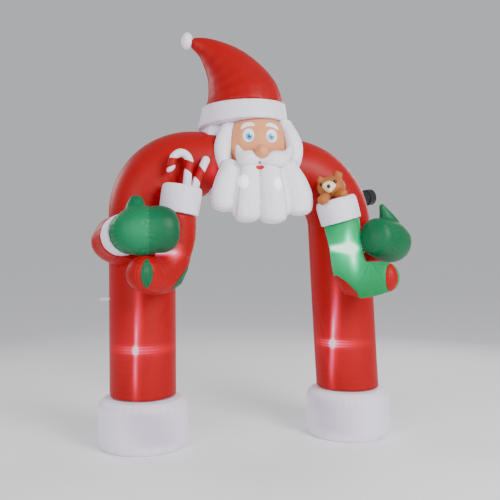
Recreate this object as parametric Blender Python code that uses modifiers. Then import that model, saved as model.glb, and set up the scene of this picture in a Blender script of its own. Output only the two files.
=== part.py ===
# Inflatable arch, 3 m high: two red air tubes on white drum feet meet at a bearded winter head
# with a curled cap. Each leg has a sleeved, mittened arm that holds a stocking.
# Metres, +Z up, -Y to the front. The pieces are placed in the arch's own frame, whose origin is
# on the ground midway between the feet, and one empty then centres the whole over the origin.

import math

import bmesh
import bpy
from mathutils import Matrix, Vector

# Driving sizes
SEAM_GAP = 0.0004  # sewn pieces stand this far apart
SHARPEST_EDGE = 3.0  # at a sharp edge a grown form moves up to this many gaps
TUBE_RADIUS = 0.237
FOOT_RADIUS = 0.319
FOOT_HEIGHT = 0.353
FOOT_X = {"left": -0.790, "right": 0.775}
# Each shoulder: the centre of its bend, and the bend's radius on the tube's centreline
SHOULDER = {
    "left": {"x": -0.427, "z": 1.665, "radius": 0.370, "crown_z": 2.045},
    "right": {"x": 0.265, "z": 1.572, "radius": 0.435, "crown_z": 2.020},
}
HEAD_X = -0.030
HEAD_RADIUS = 0.333
HEAD_BOTTOM = 1.785
CAP_SEAM = {"point": (-0.045, 0.0, 2.312), "normal": (-0.058, 0.068, 1.0)}
BAND_TOP = {"point": (-0.047, 0.0, 2.467), "normal": (-0.044, 0.0, 1.0)}
# The face, hair and beard are turned a little towards the left leg
FRONT_X = 0.040
FRONT_TURN = math.radians(-7.0)
FACE_PLANE_Y = -0.170
CENTRE_SHIFT = (0.017, 0.178, 0.0)

# Colours are linear RGB
COLOURS = {
    "red": (0.68, 0.012, 0.014),
    "white": (0.78, 0.74, 0.82),
    "green": (0.02, 0.27, 0.12),
    "bright_green": (0.02, 0.52, 0.24),
    "skin": (0.78, 0.42, 0.26),
    "brown": (0.42, 0.16, 0.05),
    "black": (0.012, 0.012, 0.014),
}


def clear_scene():
    for obj in list(bpy.data.objects):
        bpy.data.objects.remove(obj)


def make_collection(name):
    group = bpy.data.collections.new(name)
    bpy.context.scene.collection.children.link(group)
    return group


def make_material(name):
    material = bpy.data.materials.new(name)
    material.use_nodes = True
    shader = material.node_tree.nodes["Principled BSDF"]
    shader.inputs["Base Color"].default_value = (*COLOURS[name], 1.0)
    shader.inputs["Roughness"].default_value = 0.45
    shader.inputs["Metallic"].default_value = 0.0
    return material


def new_object(name, mesh):
    obj = bpy.data.objects.new(name, mesh)
    pieces.objects.link(obj)
    return obj


def smoothed(rows, steps):
    """Rows of x, y, z, radius with points added on a smooth curve through them."""
    points = [Vector(row) for row in rows]
    ends = [2 * points[0] - points[1], *points, 2 * points[-1] - points[-2]]
    line = []
    for before, start, end, after in zip(ends, ends[1:], ends[2:], ends[3:]):
        for step in range(steps):
            t = step / steps
            slope_in = (end - before) / 2
            slope_out = (after - start) / 2
            line.append(
                start * (2 * t**3 - 3 * t**2 + 1)
                + slope_in * (t**3 - 2 * t**2 + t)
                + end * (3 * t**2 - 2 * t**3)
                + slope_out * (t**3 - t**2)
            )
    return [*line, points[-1]]


def dome(rows, height, rings):
    """Rows that close the last row's end in a dome of this height."""
    last = rows[-1]
    ahead = (last.xyz - rows[-2].xyz).normalized()
    added = []
    for ring in range(1, rings + 1):
        angle = math.pi / 2 * ring / (rings + 0.25)
        place = last.xyz + ahead * height * math.sin(angle)
        added.append(Vector((*place, last.w * math.cos(angle))))
    return [*rows, *added]


def tube(name, rows, sides):
    """A closed tube along rows of x, y, z, radius."""
    curve = bpy.data.curves.new(name, "CURVE")
    curve.dimensions = "3D"
    curve.bevel_depth = 1.0
    curve.bevel_resolution = (sides - 4) // 2
    curve.use_fill_caps = True
    spline = curve.splines.new("POLY")
    spline.points.add(len(rows) - 1)
    for point, row in zip(spline.points, rows):
        point.co = (row[0], row[1], row[2], 1.0)
        point.radius = row[3]
    guide = bpy.data.objects.new(name + "_guide", curve)
    pieces.objects.link(guide)
    graph = bpy.context.evaluated_depsgraph_get()
    obj = new_object(name, bpy.data.meshes.new_from_object(guide.evaluated_get(graph)))
    bpy.data.objects.remove(guide)
    weld(obj)
    return obj


def weld(obj):
    """Join points that lie together, keep the faces flat, and turn them out."""
    shape = bmesh.new()
    shape.from_mesh(obj.data)
    bmesh.ops.remove_doubles(shape, verts=shape.verts, dist=0.00008)
    bmesh.ops.triangulate(shape, faces=shape.faces)
    bmesh.ops.recalc_face_normals(shape, faces=shape.faces)
    shape.to_mesh(obj.data)
    shape.free()


def ball(name, centre, radii, segments, rings, turn_z=0.0):
    shape = bmesh.new()
    bmesh.ops.create_uvsphere(shape, u_segments=segments, v_segments=rings, radius=1.0)
    place = Matrix.Translation(centre) @ Matrix.Rotation(turn_z, 4, "Z") @ Matrix.Diagonal((*radii, 1.0))
    bmesh.ops.transform(shape, matrix=place, verts=shape.verts)
    mesh = bpy.data.meshes.new(name)
    shape.to_mesh(mesh)
    shape.free()
    return new_object(name, mesh)


def turned(name, profile, steps, place):
    """A turned solid: a Screw modifier on rows of radius and height, from the top down."""
    shape = bmesh.new()
    points = [shape.verts.new((radius, 0.0, height)) for radius, height in profile]
    for first, second in zip(points, points[1:]):
        shape.edges.new((first, second))
    mesh = bpy.data.meshes.new(name)
    shape.to_mesh(mesh)
    shape.free()
    obj = new_object(name, mesh)
    screw = obj.modifiers.new("turn", "SCREW")
    screw.steps = steps
    screw.render_steps = steps
    screw.use_merge_vertices = True
    screw.merge_threshold = 0.0001
    apply_modifiers(obj)
    obj.data.transform(place)
    weld(obj)
    return obj


def apply_modifiers(obj):
    graph = bpy.context.evaluated_depsgraph_get()
    mesh = bpy.data.meshes.new_from_object(obj.evaluated_get(graph))
    obj.modifiers.clear()
    obj.data = mesh


def combine(obj, other, operation):
    boolean = obj.modifiers.new(operation.lower(), "BOOLEAN")
    boolean.operation = operation
    boolean.object = other
    apply_modifiers(obj)
    bpy.data.objects.remove(other)
    weld(obj)


def fuse(obj, *others):
    for other in others:
        combine(obj, other, "UNION")
    return obj


def copy_form(obj):
    """A helper copy of a shape as it is now, for others to be fitted round."""
    form = bpy.data.objects.new(obj.name + "_form", obj.data.copy())
    helpers.objects.link(form)
    form.hide_render = True
    form.display_type = "WIRE"
    return form


def fit_round(obj, *forms):
    """Cut each form, grown by the seam's gap, out of obj."""
    for form in forms:
        cutter = copy_form(form)
        shape = bmesh.new()
        shape.from_mesh(cutter.data)
        shape.normal_update()
        for vert in shape.verts:
            vert.co += vert.normal * SEAM_GAP * min(vert.calc_shell_factor(), SHARPEST_EDGE)
        shape.to_mesh(cutter.data)
        shape.free()
        combine(obj, cutter, "DIFFERENCE")
    keep_largest(obj)


def keep_largest(obj):
    """Drop the crumbs that a cut leaves beside the main body."""
    shape = bmesh.new()
    shape.from_mesh(obj.data)
    left = set(shape.verts)
    bodies = []
    while left:
        body = {left.pop()}
        edge_of_search = list(body)
        while edge_of_search:
            vert = edge_of_search.pop()
            near = {edge.other_vert(vert) for edge in vert.link_edges} & left
            left -= near
            body |= near
            edge_of_search.extend(near)
        bodies.append(body)
    bodies.sort(key=len, reverse=True)
    for crumb in bodies[1:]:
        bmesh.ops.delete(shape, geom=list(crumb), context="VERTS")
    shape.to_mesh(obj.data)
    shape.free()


def slice_off(obj, point, normal):
    """Cut away what lies past the plane, on the side that the normal points to."""
    shape = bmesh.new()
    shape.from_mesh(obj.data)
    everything = [*shape.verts, *shape.edges, *shape.faces]
    bmesh.ops.bisect_plane(
        shape, geom=everything, dist=0.00001, plane_co=point, plane_no=normal, clear_outer=True
    )
    rim = [edge for edge in shape.edges if edge.is_boundary]
    bmesh.ops.edgeloop_fill(shape, edges=rim)
    bmesh.ops.recalc_face_normals(shape, faces=shape.faces)
    shape.to_mesh(obj.data)
    shape.free()


def part_at(above, below, point, normal):
    """Split two pieces at a plane: each keeps its own side, half a seam's gap back from it."""
    normal = Vector(normal).normalized()
    half_gap = normal * SEAM_GAP / 2
    slice_off(below, Vector(point) - half_gap, normal)
    slice_off(above, Vector(point) + half_gap, -normal)


def finish(obj, colour):
    """Give a piece its material and place it on the stand."""
    obj.data.materials.clear()
    obj.data.materials.append(materials[colour])
    obj.data.shade_smooth()
    obj.data.set_sharp_from_angle(angle=math.radians(40.0))
    obj.parent = stand


def mirrored(rows, side):
    """Rows of the front, given for its right half, for either side."""
    sign = -1.0 if side == "left" else 1.0
    return [(sign * row[0], *row[1:]) for row in rows]


def make_foot(side):
    """A weighted drum with a soft shoulder, which the tube stands in."""
    profile = [
        (0.0, FOOT_HEIGHT),
        (TUBE_RADIUS + 0.004, FOOT_HEIGHT),
        (0.278, 0.341),
        (0.305, 0.319),
        (FOOT_RADIUS, 0.285),
        (FOOT_RADIUS, 0.045),
        (0.308, 0.014),
        (0.285, 0.0),
        (0.0, 0.0),
    ]
    foot = turned("foot_" + side, profile, 28, Matrix.Translation((FOOT_X[side], 0.0, 0.0)))
    finish(foot, "white")


def make_arch_tube(side):
    """The leg rises to a round shoulder and runs in to the head, which cuts its end."""
    sign = -1.0 if side == "left" else 1.0
    bend = SHOULDER[side]
    leg_x = bend["x"] + sign * bend["radius"]
    rows = [
        (FOOT_X[side], 0.0, FOOT_HEIGHT - 0.02, TUBE_RADIUS),
        (FOOT_X[side] * 0.45 + leg_x * 0.55, 0.0, 1.02, TUBE_RADIUS),
        (leg_x, 0.0, bend["z"], TUBE_RADIUS),
    ]
    bend_steps = 8
    for step in range(1, bend_steps + 1):
        angle = math.pi / 2 * step / bend_steps
        x = bend["x"] + sign * bend["radius"] * math.cos(angle)
        z = bend["z"] + bend["radius"] * math.sin(angle)
        rows.append((x, 0.0, z, TUBE_RADIUS))
    rows.append((HEAD_X + sign * 0.26, 0.0, bend["crown_z"], TUBE_RADIUS))
    rows.append((HEAD_X + sign * 0.10, 0.0, bend["crown_z"], TUBE_RADIUS * 0.9))
    arch_tube = tube("arch_tube_" + side, rows, 26)
    slice_off(arch_tube, (0.0, 0.0, FOOT_HEIGHT + SEAM_GAP), (0.0, 0.0, -1.0))
    return arch_tube


def make_head():
    """The white drum between the tubes. Its front is flat, where the face is sewn on."""
    profile = [
        (0.0, 2.44),
        (HEAD_RADIUS, 2.44),
        (HEAD_RADIUS, 2.15),
        (HEAD_RADIUS - 0.004, 1.93),
        (0.318, 1.842),
        (0.282, 1.801),
        (0.200, HEAD_BOTTOM),
        (0.0, HEAD_BOTTOM),
    ]
    return turned("head", profile, 28, Matrix.Translation((HEAD_X, 0.0, 0.0)))


def make_band():
    """The cap's turned-up band, fuller at its middle."""
    profile = [
        (0.0, 0.13),
        (0.300, 0.13),
        (0.314, 0.06),
        (0.332, 0.0),
        (0.342, -0.06),
        (0.342, -0.14),
        (0.0, -0.14),
    ]
    lean = Matrix.Translation((-0.046, 0.0, 2.39)) @ Matrix.Rotation(math.radians(-2.9), 4, "Y")
    return turned("cap_band", profile, 28, lean)


def make_cap():
    """The cap narrows and curls over to the left."""
    rows = [
        (-0.047, 0.0, 2.400, 0.312),
        (-0.050, 0.0, 2.471, 0.299),
        (-0.066, 0.0, 2.560, 0.276),
        (-0.118, 0.0, 2.670, 0.226),
        (-0.178, 0.0, 2.758, 0.178),
        (-0.260, 0.0, 2.838, 0.125),
        (-0.350, 0.0, 2.901, 0.074),
        (-0.441, 0.0, 2.931, 0.037),
    ]
    return tube("cap", smoothed(rows, 2), 24)


def make_face():
    return ball("face", (-0.010, -0.145, 2.165), (0.238, 0.205, 0.250), 22, 13)


def make_nose():
    return ball("nose", (0.006, -0.404, 2.082), (0.048, 0.072, 0.049), 14, 9)


def make_hair(side):
    """The puffed lock that runs from under the cap's band to the beard."""
    rows = [
        (0.178, -0.150, 2.370, 0.050),
        (0.206, -0.188, 2.290, 0.053),
        (0.239, -0.228, 2.215, 0.057),
        (0.257, -0.250, 2.135, 0.063),
        (0.251, -0.262, 2.055, 0.060),
        (0.232, -0.272, 1.990, 0.052),
    ]
    return tube("hair_" + side, dome(smoothed(mirrored(rows, side), 2), 0.03, 2), 14)


# The beard's four channels, from the left: middle and radius below the mouth, the same at the
# fullest place, and the height of the hem
BEARD_CHANNELS = {
    "outer_left": {"top": (-0.203, 0.070), "full": (-0.250, 0.092), "depth": 0.322, "hem": 1.668},
    "inner_left": {"top": (-0.070, 0.078), "full": (-0.094, 0.103), "depth": 0.362, "hem": 1.592},
    "inner_right": {"top": (0.062, 0.080), "full": (0.088, 0.110), "depth": 0.362, "hem": 1.584},
    "outer_right": {"top": (0.200, 0.070), "full": (0.272, 0.104), "depth": 0.326, "hem": 1.642},
}
BEARD_TOP = 2.020
HEM_DOME = 0.062


def make_beard():
    """Four sewn channels that fill out towards the hem, where each is rounded off."""
    lobes = []
    for name, channel in BEARD_CHANNELS.items():
        top_x, top_radius = channel["top"]
        full_x, full_radius = channel["full"]
        last_z = channel["hem"] + HEM_DOME
        rows = []
        # Share of the way down, of the way out from top to fullest, and of the fullest radius
        for drop, spread, fill in (
            (0.0, 0.0, 0.0),
            (0.18, 0.08, 0.34),
            (0.45, 0.50, 0.80),
            (0.75, 0.95, 1.0),
            (1.0, 1.0, 0.94),
        ):
            rows.append((
                top_x + (full_x - top_x) * spread,
                -(channel["depth"] - 0.040 * (1.0 - fill)),
                BEARD_TOP + (last_z - BEARD_TOP) * drop,
                top_radius + (full_radius - top_radius) * fill,
            ))
        lobes.append(tube("beard_" + name, dome(smoothed(rows, 2), HEM_DOME, 3), 14))
    lobe_forms = [copy_form(lobe) for lobe in lobes]
    beard = fuse(*lobes)
    beard.name = "beard"
    return beard, lobe_forms


# The moustache hangs a little towards the right
MOUSTACHE_REACH = {"left": 0.78, "right": 1.06}


def make_moustache():
    rows = [
        (-0.008, -0.395, 2.003, 0.014),
        (0.034, -0.392, 2.016, 0.040),
        (0.080, -0.388, 2.030, 0.060),
        (0.126, -0.376, 2.036, 0.062),
        (0.165, -0.358, 2.056, 0.047),
        (0.190, -0.342, 2.096, 0.028),
        (0.206, -0.330, 2.138, 0.010),
    ]
    halves = []
    for side, reach in MOUSTACHE_REACH.items():
        line = [(reach * row[0], *row[1:]) for row in mirrored(rows, side)]
        halves.append(tube("moustache_" + side, smoothed(line, 2), 10))
    moustache = fuse(*halves)
    moustache.name = "moustache"
    return moustache


def make_head_group(tubes):
    """Head, cap, face, hair, beard, moustache and nose, each fitted to the ones it is sewn to."""
    front = Matrix.Translation((FRONT_X, 0.0, 0.0)) @ Matrix.Rotation(FRONT_TURN, 4, "Z")
    head = make_head()
    band = make_band()
    cap = make_cap()
    face = make_face()
    nose = make_nose()
    hair = {side: make_hair(side) for side in ("left", "right")}
    beard, lobe_forms = make_beard()
    moustache = make_moustache()
    for piece in (face, nose, beard, moustache, *hair.values(), *lobe_forms):
        piece.data.transform(front)

    face_normal = front.to_3x3() @ Vector((0.0, -1.0, 0.0))
    face_point = front @ Vector((0.0, FACE_PLANE_Y, 2.0))
    part_at(face, head, face_point, face_normal)
    part_at(band, head, CAP_SEAM["point"], CAP_SEAM["normal"])
    part_at(cap, band, BAND_TOP["point"], BAND_TOP["normal"])
    below_band = Vector(CAP_SEAM["point"]) - Vector(CAP_SEAM["normal"]).normalized() * SEAM_GAP
    for piece in (face, *hair.values()):
        slice_off(piece, below_band, CAP_SEAM["normal"])

    head_form, face_form, nose_form = (copy_form(piece) for piece in (head, face, nose))
    hair_forms = [copy_form(lock) for lock in hair.values()]
    fit_round(beard, head_form)
    for lock in hair.values():
        fit_round(lock, head_form, *lobe_forms)
    fit_round(face, *hair_forms, *lobe_forms)
    fit_round(nose, face_form)
    fit_round(moustache, face_form, nose_form, *lobe_forms, *hair_forms)
    for arch_tube in tubes.values():
        fit_round(arch_tube, head_form, face_form, *lobe_forms, *hair_forms)

    pom = ball("pom", (-0.473, 0.0, 2.937), (0.044, 0.063, 0.063), 16, 10)
    fit_round(pom, cap)
    finish(pom, "white")
    finish(head, "white")
    finish(band, "white")
    finish(cap, "red")
    finish(face, "skin")
    finish(nose, "skin")
    finish(beard, "white")
    finish(moustache, "white")
    for lock in hair.values():
        finish(lock, "white")
    return head_form


# Each stocking's line from its cuff to its toe: x, y, z, radius
STOCKING_ROWS = {
    "left": [
        (-0.569, -0.330, 1.690, 0.126),
        (-0.564, -0.330, 1.610, 0.122),
        (-0.562, -0.330, 1.499, 0.114),
        (-0.595, -0.336, 1.390, 0.117),
        (-0.650, -0.370, 1.262, 0.131),
        (-0.738, -0.450, 1.234, 0.127),
        (-0.826, -0.530, 1.258, 0.114),
    ],
    "right": [
        (0.583, -0.362, 1.635, 0.132),
        (0.597, -0.364, 1.560, 0.127),
        (0.618, -0.368, 1.433, 0.116),
        (0.636, -0.384, 1.310, 0.122),
        (0.670, -0.424, 1.202, 0.133),
        (0.752, -0.510, 1.202, 0.124),
        (0.826, -0.604, 1.218, 0.106),
    ],
}
STOCKING_CUFF = {
    "left": {"top": (-0.540, -0.330, 1.842), "seam": (-0.569, -0.330, 1.652), "radius": 0.139},
    "right": {"top": (0.543, -0.358, 1.770), "seam": (0.589, -0.362, 1.606), "radius": 0.148},
}
# Each panel is sewn in between two seams, and shows on the front of the foot only. A seam is a
# point of it and the way from it into the panel.
TOE_PANEL = {
    "left": (
        {"point": (-0.831, -0.548, 1.262), "normal": (-0.60, -0.80, 0.0)},
        {"point": (-0.780, -0.555, 1.262), "normal": (0.80, -0.60, 0.0)},
    ),
    "right": (
        {"point": (0.843, -0.630, 1.222), "normal": (0.66, -0.75, 0.02)},
        {"point": (0.832, -0.600, 1.222), "normal": (-0.77, -0.63, 0.0)},
    ),
}
HEEL_PANEL = {
    "left": (
        {"point": (-0.590, -0.350, 1.176), "normal": (0.80, -0.05, -0.60)},
        {"point": (-0.640, -0.340, 1.250), "normal": (0.40, -0.90, 0.0)},
    ),
    "right": (
        {"point": (0.600, -0.386, 1.150), "normal": (-0.72, 0.02, -0.69)},
        {"point": (0.655, -0.425, 1.200), "normal": (-0.50, -0.86, 0.0)},
    ),
}


def inset_panel(body, name, seams):
    """Sew a panel into a body between two seams: a wedge of the body becomes a piece of its own."""
    panel = new_object(name, body.data.copy())
    wedge_size = 0.8
    shape = bmesh.new()
    bmesh.ops.create_cube(shape, size=wedge_size)
    bmesh.ops.translate(shape, vec=seams[0]["point"], verts=shape.verts)
    mesh = bpy.data.meshes.new(name)
    shape.to_mesh(mesh)
    shape.free()
    wedge = new_object(name + "_wedge", mesh)
    for seam in seams:
        point = Vector(seam["point"])
        inward = Vector(seam["normal"]).normalized()
        slice_off(panel, point + inward * SEAM_GAP / 2, -inward)
        slice_off(wedge, point - inward * SEAM_GAP / 2, -inward)
    combine(body, wedge, "DIFFERENCE")
    keep_largest(body)
    keep_largest(panel)
    return panel


def make_stocking(side, tube_form):
    """A filled stocking: a puffed cuff, the leg and foot, and a toe and a heel panel."""
    colour, patch = ("red", "green") if side == "left" else ("bright_green", "red")
    line = dome(smoothed(STOCKING_ROWS[side], 2), 0.085, 4)
    body = tube("stocking_" + side, line, 18)

    cuff_top = Vector(STOCKING_CUFF[side]["top"])
    seam = Vector(STOCKING_CUFF[side]["seam"])
    radius = STOCKING_CUFF[side]["radius"]
    down = (seam - cuff_top).normalized()
    # Share of the cuff's radius at each depth below its top
    cuff_shape = [(0.0, 0.70), (0.006, 0.84), (0.020, 0.94), (0.045, 0.99), (0.090, 1.0), (0.200, 0.96)]
    rows = [(*(cuff_top + down * depth), radius * share) for depth, share in cuff_shape]
    cuff = tube("stocking_cuff_" + side, rows, 20)
    part_at(body, cuff, seam, down)
    form = copy_form(body)
    cuff_form = copy_form(cuff)
    fit_round(body, tube_form)
    fit_round(cuff, tube_form)
    toe = inset_panel(body, "toe_panel_" + side, TOE_PANEL[side])
    heel = inset_panel(body, "heel_panel_" + side, HEEL_PANEL[side])
    finish(cuff, "white")
    finish(body, colour)
    finish(toe, patch)
    finish(heel, patch)
    return form, cuff_form


# The arms: the elbow's ball, the line from sleeve to cuff to mitten, and the mitten's own line
ARM = {
    "left": {
        "elbow": {"centre": (-0.900, -0.135, 1.462), "radii": (0.258, 0.215, 0.174)},
        "cuff_line": [(-0.985, -0.160, 1.478), (-0.962, -0.298, 1.498), (-0.921, -0.432, 1.512)],
        "hand": [
            (-0.935, -0.385, 1.508, 0.128),
            (-0.880, -0.465, 1.520, 0.151),
            (-0.828, -0.500, 1.526, 0.162),
            (-0.772, -0.512, 1.532, 0.157),
            (-0.735, -0.516, 1.536, 0.149),
            (-0.690, -0.518, 1.538, 0.149),
            (-0.650, -0.512, 1.540, 0.136),
        ],
        "thumb": [
            (-0.866, -0.462, 1.600, 0.078),
            (-0.859, -0.460, 1.674, 0.067),
            (-0.855, -0.458, 1.722, 0.049),
        ],
    },
    "right": {
        "elbow": {"centre": (0.830, -0.125, 1.450), "radii": (0.240, 0.215, 0.168)},
        "cuff_line": [(0.965, -0.130, 1.455), (0.972, -0.260, 1.460), (0.966, -0.335, 1.462)],
        "hand": [
            (0.972, -0.300, 1.462, 0.128),
            (0.957, -0.385, 1.462, 0.143),
            (0.908, -0.440, 1.470, 0.146),
            (0.845, -0.490, 1.486, 0.139),
            (0.782, -0.537, 1.498, 0.128),
        ],
        "thumb": [
            (0.948, -0.415, 1.530, 0.090),
            (0.906, -0.432, 1.630, 0.056),
            (0.876, -0.440, 1.692, 0.022),
        ],
    },
}
HAND_FLATNESS = 0.86
ARM_CUFF_RADIUS = 0.137


def make_arm(side, tube_form, stocking_form, stocking_cuff_form):
    """A bent sleeve out of the leg, a cuff and a mitten that holds the stocking."""
    arm = ARM[side]
    root, cuff_start, cuff_end = (Vector(point) for point in arm["cuff_line"])
    ahead = (cuff_end - cuff_start).normalized()

    elbow = ball("sleeve_" + side, arm["elbow"]["centre"], arm["elbow"]["radii"], 20, 12)
    forearm_rows = [(*root, 0.160), (*(root + cuff_start) / 2, 0.150), (*(cuff_start + ahead * 0.02), 0.138)]
    forearm = tube("forearm_" + side, forearm_rows, 18)
    sleeve = fuse(elbow, forearm)

    reach = (cuff_end - cuff_start).length
    cuff_shape = [(-0.03, 0.97), (0.0, 0.99), (reach * 0.45, 1.03), (reach, 1.0), (reach + 0.04, 0.98)]
    rows = [(*(cuff_start + ahead * along), ARM_CUFF_RADIUS * share) for along, share in cuff_shape]
    cuff = tube("arm_cuff_" + side, rows, 20)

    hand_depth = Vector(arm["hand"][2]).y
    mitten = tube("mitten_" + side, dome(smoothed(arm["hand"], 2), 0.055, 3), 18)
    flatten = Matrix.Diagonal((1.0, HAND_FLATNESS, 1.0, 1.0))
    middle = Matrix.Translation((0.0, hand_depth, 0.0))
    mitten.data.transform(middle @ flatten @ middle.inverted())
    fuse(mitten, tube("thumb", dome(smoothed(arm["thumb"], 2), 0.034, 3), 12))

    part_at(cuff, sleeve, cuff_start, ahead)
    part_at(mitten, cuff, cuff_end, ahead)
    fit_round(sleeve, tube_form, stocking_form)
    fit_round(cuff, tube_form, stocking_form)
    fit_round(mitten, tube_form, stocking_form, stocking_cuff_form)
    finish(sleeve, "red")
    finish(cuff, "white")
    finish(mitten, "green")


# Both canes stand in the left cuff. The hooked one bends over in front of the tube.
CANE_RADIUS = 0.0285
CANE_ROWS = {
    "cane_hooked": [
        (-0.515, -0.314, 1.780),
        (-0.503, -0.312, 1.925),
        (-0.493, -0.312, 2.003),
        (-0.512, -0.312, 2.052),
        (-0.556, -0.312, 2.070),
        (-0.598, -0.312, 2.040),
        (-0.616, -0.312, 1.987),
        (-0.620, -0.312, 1.938),
    ],
    "cane_turned": [
        (-0.470, -0.290, 1.760),
        (-0.440, -0.288, 1.880),
        (-0.406, -0.286, 1.960),
        (-0.378, -0.280, 2.020),
        (-0.368, -0.256, 2.034),
    ],
}


def make_canes(tube_forms, head_form, cuff_form):
    made = []
    for name, points in CANE_ROWS.items():
        rows = [(*point, CANE_RADIUS) for point in points]
        cane = tube(name, dome(smoothed(rows, 2), 0.012, 2), 10)
        fit_round(cane, cuff_form, tube_forms["left"], head_form, *made)
        made.append(copy_form(cane))
        finish(cane, "white")


BEAR_CENTRE = (0.512, -0.366, 1.850)


def make_bear(cuff_form, tube_form):
    """A small soft bear that looks out of the right stocking with its paws on the cuff."""
    head = ball("bear_head", BEAR_CENTRE, (0.102, 0.090, 0.080), 16, 11, -0.3)
    ear_rows = {
        "ear_left": [(0.452, -0.366, 1.880, 0.036), (0.428, -0.366, 1.902, 0.026)],
        "ear_right": [(0.552, -0.352, 1.895, 0.042), (0.570, -0.348, 1.930, 0.033)],
    }
    for name, rows in ear_rows.items():
        fuse(head, tube(name, dome([Vector(row) for row in rows], 0.020, 3), 10))
    muzzle = ball("bear_muzzle", (0.470, -0.442, 1.844), (0.045, 0.034, 0.043), 12, 8, -0.4)
    paws = {
        "bear_paw_left": [
            (0.460, -0.420, 1.778, 0.030),
            (0.425, -0.462, 1.758, 0.036),
            (0.402, -0.480, 1.744, 0.033),
        ],
        "bear_paw_right": [
            (0.535, -0.415, 1.800, 0.032),
            (0.556, -0.448, 1.798, 0.037),
            (0.566, -0.478, 1.794, 0.032),
        ],
    }
    fit_round(head, cuff_form, tube_form)
    head_form = copy_form(head)
    fit_round(muzzle, head_form)
    finish(head, "brown")
    muzzle_form = copy_form(muzzle)
    finish(muzzle, "skin")
    for name, rows in paws.items():
        paw = tube(name, dome([Vector(row) for row in rows], 0.018, 2), 12)
        fit_round(paw, head_form, muzzle_form, cuff_form)
        finish(paw, "brown")


FAN_FROM = Vector((0.800, 0.060, 1.790))
FAN_TO = Vector((1.036, 0.167, 1.832))
FAN_RADIUS = 0.064


def make_fan(tube_form):
    """The blower that keeps the arch up, in a round housing on the back of the right shoulder."""
    ahead = (FAN_TO - FAN_FROM).normalized()
    length = (FAN_TO - FAN_FROM).length
    # Distance back from the intake face and share of the housing's radius
    housing = [(length, 0.86), (0.075, 0.86), (0.068, 1.0), (0.008, 1.0), (0.0, 0.88)]
    rows = [(*(FAN_TO - ahead * back), FAN_RADIUS * share) for back, share in housing]
    fan = tube("fan_housing", rows, 20)
    fit_round(fan, tube_form)
    finish(fan, "black")


TAB_SIZE = (0.080, 0.005, 0.022)
TAB_CENTRE = (-1.052, -0.004, 1.054)


def make_tab(tube_form):
    """The folded webbing tab that a guy line ties to."""
    shape = bmesh.new()
    bmesh.ops.create_cube(shape, size=1.0)
    place = Matrix.Translation(TAB_CENTRE) @ Matrix.Diagonal((*TAB_SIZE, 1.0))
    bmesh.ops.transform(shape, matrix=place, verts=shape.verts)
    mesh = bpy.data.meshes.new("tether_tab")
    shape.to_mesh(mesh)
    shape.free()
    tab = new_object("tether_tab", mesh)
    bevel = tab.modifiers.new("soft_edges", "BEVEL")
    bevel.width = 0.0012
    bevel.segments = 1
    apply_modifiers(tab)
    fit_round(tab, tube_form)
    finish(tab, "white")


clear_scene()
pieces = make_collection("inflatable_arch")
helpers = make_collection("fitting_forms")
helpers.hide_render = True
stand = bpy.data.objects.new("stand", None)
pieces.objects.link(stand)
stand.location = CENTRE_SHIFT
materials = {name: make_material(name) for name in COLOURS}

tubes = {}
tube_forms = {}
for side in ("left", "right"):
    make_foot(side)
    tubes[side] = make_arch_tube(side)
    tube_forms[side] = copy_form(tubes[side])
head_form = make_head_group(tubes)
cuff_forms = {}
for side in ("left", "right"):
    finish(tubes[side], "red")
    stocking_form, cuff_forms[side] = make_stocking(side, tube_forms[side])
    make_arm(side, tube_forms[side], stocking_form, cuff_forms[side])
make_canes(tube_forms, head_form, cuff_forms["left"])
make_bear(cuff_forms["right"], tube_forms["right"])
make_fan(tube_forms["right"])
make_tab(tube_forms["left"])
for form in list(helpers.objects):
    bpy.data.objects.remove(form)
bpy.context.view_layer.update()
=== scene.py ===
# %% [markdown]
# # A blown-up winter arch
# The real arch is one big bag. Panels of thin coated nylon are cut flat and sewn edge to edge, a
# small blower keeps the bag full, and lamps hang inside it. So nothing on it is hard or flat:
# every panel bulges, and every seam pulls in and puckers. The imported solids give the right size
# and place of each panel. This script turns them into cloth, one kind of panel at a time.

# %% Load the frame
import math
import bmesh
import bpy
import numpy as np
from mathutils import Matrix, Vector
from mathutils.bvhtree import BVHTree


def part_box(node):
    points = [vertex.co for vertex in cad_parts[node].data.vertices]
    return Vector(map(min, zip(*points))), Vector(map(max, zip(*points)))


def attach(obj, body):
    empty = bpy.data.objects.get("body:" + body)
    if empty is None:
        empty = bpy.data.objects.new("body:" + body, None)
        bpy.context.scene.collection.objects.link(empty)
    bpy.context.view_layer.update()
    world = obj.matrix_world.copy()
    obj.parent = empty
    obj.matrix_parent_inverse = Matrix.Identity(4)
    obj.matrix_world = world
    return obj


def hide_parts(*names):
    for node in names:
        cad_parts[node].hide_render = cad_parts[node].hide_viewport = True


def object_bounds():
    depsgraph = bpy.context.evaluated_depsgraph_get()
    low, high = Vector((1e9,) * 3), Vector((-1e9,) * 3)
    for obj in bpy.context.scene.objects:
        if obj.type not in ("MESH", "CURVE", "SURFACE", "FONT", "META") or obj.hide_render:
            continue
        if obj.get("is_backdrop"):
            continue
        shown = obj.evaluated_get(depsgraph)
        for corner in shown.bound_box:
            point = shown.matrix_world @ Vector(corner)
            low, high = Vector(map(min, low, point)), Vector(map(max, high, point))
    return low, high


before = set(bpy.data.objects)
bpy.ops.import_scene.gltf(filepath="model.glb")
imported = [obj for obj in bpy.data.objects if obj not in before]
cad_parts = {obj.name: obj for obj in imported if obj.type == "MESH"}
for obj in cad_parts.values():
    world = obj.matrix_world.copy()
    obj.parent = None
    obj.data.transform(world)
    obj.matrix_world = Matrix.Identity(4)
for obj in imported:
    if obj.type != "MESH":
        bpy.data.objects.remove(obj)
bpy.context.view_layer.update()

print("the packed arch has", len(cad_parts), "nodes")

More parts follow.
